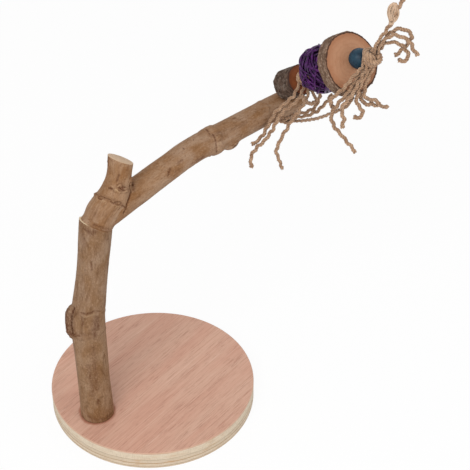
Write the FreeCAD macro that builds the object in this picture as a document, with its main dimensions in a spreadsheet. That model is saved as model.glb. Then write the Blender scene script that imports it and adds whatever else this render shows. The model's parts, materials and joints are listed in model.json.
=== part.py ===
import FreeCAD, Part
import Sketcher
import math
import os
from FreeCAD import Placement, Rotation, Vector

# Bird perch stand: a round plywood base, an upright branch, a forked branch mitred on top of it, and a chew
# toy threaded on jute cord at the end of the perch. Millimetres and degrees, +Z up, origin at the middle of
# the base's underside, +X from the post along the perch.
doc = FreeCAD.newDocument("bird_perch_stand")
sheet = doc.addObject("Spreadsheet::Sheet", "sizes")

SIZES = [
    # Base board
    ("base_diameter", 180),
    ("base_thickness", 18),
    ("base_edge_ease", 0.8),
    # Post: how far its foot stands in from the board's edge, how far its top leans along the perch, and its
    # side knot
    ("post_inset", 28.5),
    ("post_height", 199.6),
    ("post_lean", 13.1),
    ("post_diameter", 28),
    ("boss_height", 32),
    ("boss_width", 22),
    ("boss_depth", 24),
    ("boss_offset", 8),
    ("boss_bearing", 139),
    ("mitre_tilt", 33),
    # Forked branch: long limb, stub, bud and the cord hole near the tip
    ("arm_reach", 215),
    ("arm_rise", 27.9),
    ("arm_diameter", 22),
    ("stem_diameter", 28),
    ("stub_run", 27.9),
    ("stub_rise", 49.6),
    ("stub_diameter", 20),
    ("stub_cut_tilt", 32),
    ("stub_cut_bearing", 3),
    ("bud_length", 9),
    ("bud_width", 6),
    ("cord_hole_inset", 12.2),
    # Screw from below into the post, and the dowel across the mitre
    ("screw_head_diameter", 9),
    ("screw_head_height", 4),
    ("screw_diameter", 5),
    ("screw_length", 55),
    ("screw_point", 7),
    ("screw_recess", 0.6),
    ("dowel_diameter", 6),
    ("dowel_length", 30),
    ("dowel_chamfer", 0.6),
    # Jute: core cord through the toy, its knots, and the loose ends
    ("core_diameter", 4),
    ("core_rise", 6.2),
    ("core_bend_radius", 4),
    ("toy_elevation", 37.5),
    ("strand_diameter", 2.8),
    ("rear_knot_diameter", 13),
    ("rear_knot_length", 9),
    ("mid_knot_diameter", 15),
    ("mid_knot_length", 9.2),
    ("front_knot_diameter", 16.8),
    ("front_knot_length", 13),
    ("front_knot_drop", 2),
    ("front_knot_bend", 1.5),
    ("tip_length", 18),
    ("tip_width", 9.5),
    ("tip_thickness", 3.8),
    # Threaded pieces, from the perch outwards
    ("log_diameter", 27.5),
    ("log_taper", 0.8),
    ("log_length", 22),
    ("ball_diameter", 40),
    ("ball_length", 46.4),
    ("ball_lift", 1.8),
    ("vine_diameter", 1.8),
    ("vine_gap", 0.5),
    ("slice_diameter", 49.6),
    ("slice_thickness", 15),
    ("slice_hole_offset", 1),
    ("bead_diameter", 16.6),
    ("bead_length", 15.6),
    # Clearances, and the overrun of every cut
    ("cord_clearance", 0.35),
    ("thread_gap", 0.5),
    ("seat_gap", 0.3),
    ("fit_clearance", 0.05),
    ("overrun", 5),
]
for row, (alias, value) in enumerate(SIZES, start=1):
    sheet.set(f"A{row}", alias)
    sheet.set(f"B{row}", str(value))
    sheet.setAlias(f"B{row}", alias)
doc.recompute()


def size(alias):
    return float(sheet.get(alias))


nodes = {}


def keep(node, obj):
    """Make obj the finished sub-part of this name."""
    obj.Label = node
    nodes[node] = obj


def solid(kind, name, **formulas):
    """A Part primitive whose properties follow the sheet."""
    obj = doc.addObject(f"Part::{kind}", name)
    for prop, formula in formulas.items():
        obj.setExpression(prop, formula)
    return obj


def join(kind, name, base, tool):
    """A Part::Cut or Part::Fuse of two objects."""
    obj = doc.addObject(f"Part::{kind}", name)
    obj.Base = base
    obj.Tool = tool
    return obj


def origin_plane(body, role):
    return next(plane for plane in body.Origin.OriginFeatures if plane.Role == role)


def attach(body, name, role):
    sketch = body.newObject("Sketcher::SketchObject", name)
    sketch.AttachmentSupport = (origin_plane(body, role), [""])
    sketch.MapMode = "FlatFace"
    return sketch


def circle_sketch(body, name, formula):
    """A circle about the body's Z axis whose diameter follows the formula."""
    sketch = attach(body, name, "XY_Plane")
    diameter = sheet.evalExpression(formula)
    sketch.addGeometry(Part.Circle(Vector(0, 0, 0), Vector(0, 0, 1), diameter / 2))
    sketch.addConstraint(Sketcher.Constraint("Coincident", 0, 3, -1, 1))
    index = sketch.addConstraint(Sketcher.Constraint("Diameter", 0, diameter))
    sketch.setExpression(f"Constraints[{index}]", formula)
    return sketch


def half_profile(body, name, corners):
    """A closed outline beside the body's Z axis; each corner is a pair of sheet formulas, radius and height."""
    sketch = attach(body, name, "XZ_Plane")
    points = []
    for radius, height in corners:
        points.append(Vector(sheet.evalExpression(radius), sheet.evalExpression(height), 0))
    for index, point in enumerate(points):
        sketch.addGeometry(Part.LineSegment(point, points[(index + 1) % len(points)]))
    for index, corner in enumerate(corners):
        following = (index + 1) % len(corners)
        sketch.addConstraint(Sketcher.Constraint("Coincident", index, 2, following, 1))
        for axis, formula, kind in ((-2, corner[0], "DistanceX"), (-1, corner[1], "DistanceY")):
            if formula == "0":
                sketch.addConstraint(Sketcher.Constraint("PointOnObject", index, 1, axis))
                continue
            value = sheet.evalExpression(formula)
            place = sketch.addConstraint(Sketcher.Constraint(kind, -1, 1, index, 1, value))
            sketch.setExpression(f"Constraints[{place}]", formula)
    return sketch


def round_edges(feature):
    """Names of the circular edges of a feature."""
    edges = enumerate(feature.Shape.Edges, start=1)
    return [f"Edge{number}" for number, edge in edges if isinstance(edge.Curve, Part.Circle)]


LIMB_SIDES = 20


def branch(name, points, radii):
    """A limb lofted through many-sided sections square to its line of points; the radii are sheet formulas."""
    rings = []
    for index, point in enumerate(points):
        ahead = points[min(index + 1, len(points) - 1)]
        behind = points[max(index - 1, 0)]
        ring = solid("RegularPolygon", f"{name}_ring_{index}", Circumradius=radii[index])
        ring.Polygon = LIMB_SIDES
        ring.Placement = Placement(point, Rotation(Vector(0, 0, 1), ahead - behind))
        rings.append(ring)
    limb = doc.addObject("Part::Loft", name)
    limb.Sections = rings
    limb.Solid = True
    limb.Ruled = True
    return limb


def cut_block(name, diameter, centre, rotation, below):
    """A block whose face lies on a slanted saw cut through a limb, on the lower or the upper side of it."""
    side = f"2 * sizes.{diameter}"
    block = solid("Box", name, Length=side, Width=side, Height=side)
    half = size(diameter)
    drop = -2 * half if below else 0
    block.Placement = Placement(centre, rotation) * Placement(Vector(-half, -half, drop), Rotation())
    return block


# Base board: a plywood disc, edges eased, drilled and countersunk from below under the post
post_place = size("post_inset") - size("base_diameter") / 2
board = doc.addObject("PartDesign::Body", "board")
disc = board.newObject("PartDesign::Pad", "disc")
disc.Profile = circle_sketch(board, "disc_outline", "sizes.base_diameter")
disc.setExpression("Length", "sizes.base_thickness")
doc.recompute()
eased = board.newObject("PartDesign::Chamfer", "eased_edges")
eased.Base = (disc, round_edges(disc))
eased.setExpression("Size", "sizes.base_edge_ease")
SCREW_BORES = [
    ("screw_hole", "Cylinder", {
        "Radius": "sizes.screw_diameter / 2 + sizes.fit_clearance",
        "Height": "sizes.base_thickness + sizes.overrun"}, "0"),
    ("head_recess", "Cylinder", {
        "Radius": "sizes.screw_head_diameter / 2 + sizes.fit_clearance",
        "Height": "sizes.screw_recess"}, "0"),
    ("countersink", "Cone", {
        "Radius1": "sizes.screw_head_diameter / 2 + sizes.fit_clearance",
        "Radius2": "sizes.screw_diameter / 2 + sizes.fit_clearance",
        "Height": "sizes.screw_head_height"}, "sizes.screw_recess"),
]
for name, kind, formulas, start in SCREW_BORES:
    bore = board.newObject(f"PartDesign::Subtractive{kind}", name)
    for prop, formula in formulas.items():
        bore.setExpression(prop, formula)
    bore.setExpression("Placement.Base.x", "sizes.post_inset - sizes.base_diameter / 2")
    bore.setExpression("Placement.Base.z", start)
keep("base_board", board)

# Wood screw: countersunk head in the board's underside, shank up through the board into the post
screw = doc.addObject("PartDesign::Body", "screw")
turned = screw.newObject("PartDesign::Revolution", "turned_screw")
turned.Profile = half_profile(screw, "screw_outline", [
    ("0", "0"),
    ("sizes.screw_head_diameter / 2", "0"),
    ("sizes.screw_diameter / 2", "sizes.screw_head_height"),
    ("sizes.screw_diameter / 2", "sizes.screw_length - sizes.screw_point"),
    ("0", "sizes.screw_length"),
])
turned.ReferenceAxis = (turned.Profile[0], ["V_Axis"])
screw.Placement.Base = Vector(post_place, 0, size("screw_recess"))
keep("post_screw", screw)

# Post: a branch that bows back a little and then leans along the perch, its foot sawn level and its top
# sawn to the mitre. Each station gives a share of the height, of the lean and of the diameter.
POST_STATION_SHARES = [
    (-0.060, 0.020, 1.02), (0.060, -0.020, 1.01), (0.180, -0.060, 0.99), (0.300, -0.095, 0.99),
    (0.400, -0.135, 1.00), (0.470, -0.150, 1.02), (0.530, -0.140, 1.03), (0.580, -0.060, 0.99),
    (0.640, 0.110, 0.96), (0.750, 0.440, 0.92), (0.850, 0.670, 0.92), (0.940, 0.870, 0.95),
    (1.120, 1.270, 0.97),
]
BOSS_HEIGHT_SHARE = 0.527
BOSS_LEAN_SHARE = -0.14
foot = Vector(post_place, 0, size("base_thickness"))
mitre_middle = foot + Vector(size("post_lean"), 0, size("post_height"))
mitre_turn = Rotation(Vector(0, 1, 0), size("mitre_tilt"))
mitre_normal = mitre_turn.multVec(Vector(0, 0, 1))
post_points = []
post_radii = []
for height_share, lean_share, diameter_share in POST_STATION_SHARES:
    station = Vector(lean_share * size("post_lean"), 0, height_share * size("post_height"))
    post_points.append(foot + station)
    post_radii.append(f"{diameter_share} * sizes.post_diameter / 2")
boss = solid("Ellipsoid", "side_knot", Radius1="sizes.boss_height / 2", Radius2="sizes.boss_depth / 2",
             Radius3="sizes.boss_width / 2")
boss_turn = Rotation(Vector(0, 0, 1), size("boss_bearing"))
boss_foot = foot + Vector(BOSS_LEAN_SHARE * size("post_lean"), 0, BOSS_HEIGHT_SHARE * size("post_height"))
boss.Placement = Placement(boss_foot + boss_turn.multVec(Vector(size("boss_offset"), 0, 0)), boss_turn)
foot_block = solid("Cylinder", "foot_cut", Radius="sizes.base_diameter / 2",
                   Height="sizes.base_thickness + sizes.overrun")
foot_block.setExpression("Placement.Base.z", "-sizes.overrun")
pilot = solid("Cylinder", "screw_pilot", Radius="sizes.screw_diameter / 2 + sizes.fit_clearance",
              Height="sizes.screw_length + sizes.fit_clearance")
pilot.Placement.Base = Vector(post_place, 0, size("screw_recess"))
dowel_hole = solid("Cylinder", "dowel_hole", Radius="sizes.dowel_diameter / 2 + sizes.fit_clearance",
                   Height="sizes.dowel_length + 2 * sizes.fit_clearance")
dowel_foot = mitre_middle - mitre_normal * (size("dowel_length") / 2)
dowel_hole.Placement = Placement(dowel_foot - mitre_normal * size("fit_clearance"), mitre_turn)
post = join("Fuse", "post_with_knot", branch("post_limb", post_points, post_radii), boss)
post = join("Cut", "post_footed", post, foot_block)
upper_side = cut_block("mitre_above", "stem_diameter", mitre_middle, mitre_turn, False)
post = join("Cut", "post_mitred", post, upper_side)
post = join("Cut", "post_piloted", post, pilot)
post = join("Cut", "post_drilled", post, dowel_hole)
keep("post", post)

# Dowel: a chamfered pin, half in the post and half in the fork, square to the mitre
dowel = doc.addObject("PartDesign::Body", "dowel")
pin = dowel.newObject("PartDesign::Pad", "pin")
pin.Profile = circle_sketch(dowel, "pin_outline", "sizes.dowel_diameter")
pin.setExpression("Length", "sizes.dowel_length")
doc.recompute()
pin_ends = dowel.newObject("PartDesign::Chamfer", "pin_ends")
pin_ends.Base = (pin, round_edges(pin))
pin_ends.setExpression("Size", "sizes.dowel_chamfer")
dowel.Placement = Placement(dowel_foot, mitre_turn)
keep("elbow_dowel", dowel)

# Forked branch: a trunk leaves the mitre and narrows into the sawn stub, and the perch grows out of its side,
# gently arched, with a swollen node past its middle. Each station gives a share of a run, of a rise and of a
# diameter.
TRUNK_STATION_SHARES = [(-0.65, -0.28, 0.95), (0.00, 0.00, 0.95), (0.26, 0.17, 0.95), (0.62, 0.34, 0.89)]
STUB_STATION_SHARES = [(0.84, 0.55, 1.10), (0.93, 0.76, 0.98), (1.00, 1.00, 1.02), (1.04, 1.16, 1.03)]
STEM_STATION_SHARES = [
    (0.020, 0.100, 0.80), (0.045, 0.220, 0.90), (0.070, 0.315, 0.945), (0.100, 0.375, 0.94),
]
ARM_STATION_SHARES = [
    (0.145, 0.410, 1.12), (0.200, 0.455, 1.04), (0.299, 0.625, 1.00), (0.360, 0.740, 0.98), (0.418, 0.850, 0.98),
    (0.490, 0.915, 0.99), (0.530, 0.915, 1.02), (0.548, 0.910, 1.09), (0.562, 0.905, 1.12), (0.578, 0.905, 1.08),
    (0.600, 0.910, 1.01), (0.678, 0.935, 0.98), (0.761, 0.960, 0.99), (0.860, 0.990, 1.00), (0.944, 1.000, 1.00),
    (1.000, 0.990, 0.99),
]
BUD_REACH_SHARE = 0.632
BUD_RISE_SHARE = 0.92
BUD_DEPTH_SHARE = 0.92
BUD_SIDE_ANGLE = 40
HOLE_RISE_SHARE = 1.0


def stations(shares, run, rise, diameter):
    points = []
    radii = []
    for run_share, rise_share, diameter_share in shares:
        points.append(mitre_middle + Vector(run_share * size(run), 0, rise_share * size(rise)))
        radii.append(f"{diameter_share} * sizes.{diameter} / 2")
    return points, radii


trunk_points, trunk_radii = stations(TRUNK_STATION_SHARES, "stub_run", "stub_rise", "stem_diameter")
stub_points, stub_radii = stations(STUB_STATION_SHARES, "stub_run", "stub_rise", "stub_diameter")
stem_points, stem_radii = stations(STEM_STATION_SHARES, "arm_reach", "arm_rise", "stem_diameter")
arm_points, arm_radii = stations(ARM_STATION_SHARES, "arm_reach", "arm_rise", "arm_diameter")
bud = solid("Ellipsoid", "bud", Radius1="sizes.bud_width / 2", Radius2="sizes.bud_length / 2",
            Radius3="sizes.bud_width / 2")
bud_axis = mitre_middle + Vector(BUD_REACH_SHARE * size("arm_reach"), 0, BUD_RISE_SHARE * size("arm_rise"))
bud_out = Rotation(Vector(1, 0, 0), -BUD_SIDE_ANGLE).multVec(Vector(0, 0, -1))
bud.Placement.Base = bud_axis + bud_out * (BUD_DEPTH_SHARE * size("arm_diameter") / 2)
stub_turn = Rotation(Vector(0, 0, 1), size("stub_cut_bearing"))
stub_turn = stub_turn.multiply(Rotation(Vector(0, 1, 0), size("stub_cut_tilt")))
stub_top = mitre_middle + Vector(size("stub_run"), 0, size("stub_rise"))
hole_reach = size("arm_reach") - size("cord_hole_inset")
hole_middle = mitre_middle + Vector(hole_reach, 0, HOLE_RISE_SHARE * size("arm_rise"))
arm_radius = size("arm_diameter") / 2
cord_hole = solid("Cylinder", "cord_hole", Radius="sizes.core_diameter / 2 + sizes.cord_clearance",
                  Height="sizes.arm_diameter + 2 * sizes.overrun")
cord_hole.Placement.Base = hole_middle - Vector(0, 0, arm_radius + size("overrun"))
trunk = branch("trunk_limb", trunk_points + stub_points, trunk_radii + stub_radii)
perch = branch("perch_limb", stem_points + arm_points, stem_radii + arm_radii)
fork = join("Fuse", "fork_with_perch", trunk, perch)
fork = join("Fuse", "fork_with_bud", fork, bud)
lower_side = cut_block("mitre_below", "stem_diameter", mitre_middle, mitre_turn, True)
fork = join("Cut", "fork_mitred", fork, lower_side)
waste = cut_block("stub_saw_cut", "stub_diameter", stub_top, stub_turn, False)
fork = join("Cut", "fork_sawn", fork, waste)
fork = join("Cut", "fork_pinned", fork, dowel_hole)
fork = join("Cut", "fork_drilled", fork, cord_hole)
keep("fork_arm", fork)

# The toy's line: the core cord comes up out of the perch, bends over and carries the stack, whose first piece
# leans on the perch. Places along it are counted from the back of the log.
toy_turn = Rotation(Vector(1, 0, 0), 90 - size("toy_elevation"))
toy_axis = toy_turn.multVec(Vector(0, 0, 1))
toy_up = toy_turn.multVec(Vector(0, 1, 0))
cord_corner = hole_middle + Vector(0, 0, arm_radius + size("core_rise"))
cord_height = (cord_corner - hole_middle).dot(toy_up)
log_back = hole_middle + toy_up * cord_height + toy_axis * (arm_radius + size("seat_gap"))
mid_knot_start = size("log_length") + size("thread_gap")
ball_start = mid_knot_start + size("mid_knot_length") + size("thread_gap")
slice_start = ball_start + size("ball_length") + size("thread_gap")
bead_start = slice_start + size("slice_thickness") + size("thread_gap")
front_knot_start = bead_start + size("bead_length") + size("thread_gap")


def on_toy(start):
    return Placement(log_back + toy_axis * start, toy_turn)


CORD_SIDES = 4


def tube(path, section_radius):
    """A tube along a wire of lines and arcs, with few sides and its corners at the cord's radius."""
    first = path.OrderedEdges[0]
    start = first.valueAt(first.FirstParameter)
    heading = Rotation(Vector(0, 0, 1), first.tangentAt(first.FirstParameter))
    corners = []
    for corner in range(CORD_SIDES + 1):
        angle = 2 * math.pi * corner / CORD_SIDES
        spoke = Vector(math.cos(angle), math.sin(angle), 0) * section_radius
        corners.append(start + heading.multVec(spoke))
    return path.makePipeShell([Part.makePolygon(corners)], True, False)


def check_volume(name, shape, section_radius, length):
    """A tube's volume against its section times its length."""
    section = CORD_SIDES / 2 * math.sin(2 * math.pi / CORD_SIDES) * section_radius**2
    expected = section * length
    print(f"{name}: length {length:.1f}, volume over section times length {shape.Volume / expected:.4f}")


def feature(node, shape, place=Placement()):
    obj = doc.addObject("Part::Feature", f"{node}_solid")
    obj.Shape = shape
    obj.Placement = place
    keep(node, obj)
    return obj


def tangent_arc(start, corner, end):
    """The arc that leaves start towards corner and arrives at end from it."""
    chord_middle = (start + end) * 0.5
    half_chord = (end - start).Length / 2
    lean = math.acos(min(1, half_chord / (corner - start).Length))
    crown = chord_middle + (corner - chord_middle).normalize() * half_chord * math.tan(lean / 2)
    return Part.Arc(start, crown, end).toShape()


# Knots: round lumps of jute on the core cord, under the perch, behind the ball and at the end of the stack
KNOTS = [
    ("rear_knot", hole_middle - Vector(0, 0, arm_radius + size("seat_gap") + size("rear_knot_length") / 2),
     Rotation()),
    ("mid_knot", log_back + toy_axis * (mid_knot_start + size("mid_knot_length") / 2), toy_turn),
    ("front_knot", log_back + toy_axis * (front_knot_start + size("front_knot_length") / 2)
     - toy_up * size("front_knot_drop"), toy_turn),
]
knot_middle = {name: middle for name, middle, turn in KNOTS}

# Core cord: up through the perch, one bend over its edge, straight through the stack, and a slight sag into
# the end knot
bend_reach = size("core_bend_radius") * math.tan(math.radians(90 - size("toy_elevation")) / 2)
bend_start = cord_corner - Vector(0, 0, bend_reach)
bend_end = cord_corner + toy_axis * bend_reach
bend_inward = (toy_axis - Vector(0, 0, 1)).normalize()
bend_middle_gap = size("core_bend_radius") * (1 / math.cos(math.radians(90 - size("toy_elevation")) / 2) - 1)
sag_corner = log_back + toy_axis * front_knot_start
sag_line = (knot_middle["front_knot"] - sag_corner).normalize()
sag_start = sag_corner - toy_axis * size("front_knot_bend")
sag_end = sag_corner + sag_line * size("front_knot_bend")
core_path = Part.Wire([
    Part.LineSegment(knot_middle["rear_knot"], bend_start).toShape(),
    Part.Arc(bend_start, cord_corner + bend_inward * bend_middle_gap, bend_end).toShape(),
    Part.LineSegment(bend_end, sag_start).toShape(),
    tangent_arc(sag_start, sag_corner, sag_end),
    Part.LineSegment(sag_end, knot_middle["front_knot"]).toShape(),
])
core = feature("core_cord", tube(core_path, size("core_diameter") / 2))
check_volume("core_cord", core.Shape, size("core_diameter") / 2, core_path.Length)
KNOT_PROFILE_SHARES = [(0.62, 0.04), (0.92, 0.22), (1.00, 0.50), (0.92, 0.78), (0.62, 0.96)]
lumps = {}
for name, middle, turn in KNOTS:
    lump = doc.addObject("PartDesign::Body", f"{name}_lump")
    corners = [("0", "0")]
    for radius_share, length_share in KNOT_PROFILE_SHARES:
        corners.append((f"{radius_share} * sizes.{name}_diameter / 2", f"{length_share} * sizes.{name}_length"))
    corners.append(("0", f"sizes.{name}_length"))
    wound = lump.newObject("PartDesign::Revolution", f"{name}_wound")
    wound.Profile = half_profile(lump, f"{name}_outline", corners)
    wound.ReferenceAxis = (wound.Profile[0], ["V_Axis"])
    half_length = turn.multVec(Vector(0, 0, size(f"{name}_length") / 2))
    lump.Placement = Placement(middle - half_length, turn)
    lumps[name] = lump
    keep(name, join("Cut", f"{name}_threaded", lump, core))

# Log: a short piece of branch with its bark, a little thicker at one end
bore_radius = "sizes.core_diameter / 2 + sizes.cord_clearance"
log_blank = solid("Cone", "log_blank", Radius1="sizes.log_diameter / 2",
                  Radius2="(sizes.log_diameter - sizes.log_taper) / 2", Height="sizes.log_length")
log_bore = solid("Cylinder", "log_bore", Radius=bore_radius, Height="sizes.log_length + 2 * sizes.overrun")
log_blank.Placement = on_toy(0)
log_bore.Placement = on_toy(-size("overrun"))
keep("log_spacer", join("Cut", "log_drilled", log_blank, log_bore))

# Vine ball: one unbroken vine wound in three layers, each layer from end to end of the ball and tilted its own
# way, so that the layers cross. It climbs a layer in the last half turn of each, and both ends stay open for
# the cord, which passes a little below the ball's middle.
LAYER_TURNS = [5, 5, 6]
CLIMB_TURN_SHARE = 0.5
LAYER_TILT_BEARINGS = [0, 120, 240]
LAYER_TILT = 24
BALL_END_ANGLE = 20
STEPS_PER_TURN = 4
vine_radius = size("vine_diameter") / 2
layer_step = size("vine_diameter") + size("vine_gap")
outer_line = size("ball_diameter") / 2 - vine_radius
end_share = math.cos(math.radians(BALL_END_ANGLE))
ball_stretch_share = (size("ball_length") / 2 - vine_radius) / (outer_line * end_share)


def layer_line(layer):
    return outer_line - layer_step * (len(LAYER_TURNS) - 1 - layer)


def vine_point(turn):
    """A place on the winding, by the number of turns from its start, about the ball's own middle."""
    layer = 0
    into = turn
    while layer < len(LAYER_TURNS) - 1 and into > LAYER_TURNS[layer]:
        into -= LAYER_TURNS[layer]
        layer += 1
    progress = min(1, into / (LAYER_TURNS[layer] - CLIMB_TURN_SHARE))
    forward = progress if layer % 2 == 0 else 1 - progress
    sway = LAYER_TILT * math.sin(math.pi * progress)**2
    bearing = 360 * turn
    polar = BALL_END_ANGLE + (180 - 2 * BALL_END_ANGLE) * forward
    polar += sway * math.sin(math.radians(bearing - LAYER_TILT_BEARINGS[layer]))
    line = layer_line(layer)
    climb = max(0, 1 - (LAYER_TURNS[layer] - into) / CLIMB_TURN_SHARE)
    if layer < len(LAYER_TURNS) - 1:
        line += layer_step * climb
    across = line * math.sin(math.radians(polar))
    along = line * math.cos(math.radians(polar)) * ball_stretch_share
    return Vector(across * math.cos(math.radians(bearing)), across * math.sin(math.radians(bearing)), along)


def biarc(start, leaving, end, arriving):
    """Two tangent arcs between two points, with the direction given at each."""
    span = end - start
    both = leaving + arriving
    square = 2 * leaving.dot(arriving) - 2
    linear = -2 * span.dot(both)
    root = math.sqrt(linear**2 - 4 * square * span.dot(span))
    reach = (-linear - root) / (2 * square)
    first_corner = start + leaving * reach
    second_corner = end - arriving * reach
    joint = (first_corner + second_corner) * 0.5
    return [tangent_arc(start, first_corner, joint), tangent_arc(joint, second_corner, end)]


step_count = sum(LAYER_TURNS) * STEPS_PER_TURN
vine_points = []
vine_headings = []
probe = 1 / (8 * STEPS_PER_TURN)
for step in range(step_count + 1):
    turn = step / STEPS_PER_TURN
    vine_points.append(vine_point(turn))
    ahead = vine_point(min(turn + probe, sum(LAYER_TURNS)))
    behind = vine_point(max(turn - probe, 0))
    vine_headings.append((ahead - behind).normalize())
vine_edges = []
for step in range(step_count):
    vine_edges += biarc(vine_points[step], vine_headings[step], vine_points[step + 1], vine_headings[step + 1])
vine_path = Part.Wire(vine_edges)
ball_middle = on_toy(ball_start + size("ball_length") / 2)
ball_middle.Base = ball_middle.Base + toy_up * size("ball_lift")
ball = feature("vine_ball", tube(vine_path, vine_radius), ball_middle)
check_volume("vine_ball", ball.Shape, vine_radius, vine_path.Length)
samples = []
for edge in vine_edges:
    samples += edge.discretize(5)[:-1]
samples_per_turn = 2 * STEPS_PER_TURN * 4
least_gap = min(
    (samples[first] - samples[second]).Length
    for first in range(len(samples))
    for second in range(first + samples_per_turn // 2, len(samples))
)
print(f"vine_ball: least gap to itself {least_gap - size('vine_diameter'):.2f} mm")

# Wood slice: cross-cut from an uneven branch, drilled off its middle. The outline is a closed curve through
# radius shares, counted from the toy's sideways axis.
SLICE_RADIUS_SHARES = [1.00, 0.98, 1.01, 1.03, 0.99, 0.97, 1.01, 1.02, 0.98, 0.99]
rim_points = []
for index, radius_share in enumerate(SLICE_RADIUS_SHARES):
    angle = 2 * math.pi * index / len(SLICE_RADIUS_SHARES)
    spoke = Vector(math.cos(angle), math.sin(angle), 0) * (radius_share * size("slice_diameter") / 2)
    rim_points.append(spoke - Vector(0, size("slice_hole_offset"), 0))
rim = Part.BSplineCurve()
rim.interpolate(rim_points, PeriodicFlag=True)
slice_depth = Vector(0, 0, size("slice_thickness"))
slice_solid = Part.Face(Part.Wire(rim.toShape())).extrude(slice_depth)
slice_bore = Part.makeCylinder(size("core_diameter") / 2 + size("cord_clearance"), size("slice_thickness"))
feature("wood_slice", slice_solid.cut(slice_bore), on_toy(slice_start))

# Bead: a turned ball with flats where it is drilled
bead_blank = solid("Sphere", "bead_blank", Radius="sizes.bead_diameter / 2",
                   Angle1="-asin(sizes.bead_length / sizes.bead_diameter)",
                   Angle2="asin(sizes.bead_length / sizes.bead_diameter)")
bead_bore = solid("Cylinder", "bead_bore", Radius=bore_radius, Height="sizes.bead_length + 2 * sizes.overrun")
bead_blank.Placement = on_toy(bead_start + size("bead_length") / 2)
bead_bore.Placement = on_toy(bead_start - size("overrun"))
keep("bead", join("Cut", "bead_drilled", bead_blank, bead_bore))
doc.recompute()

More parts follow.
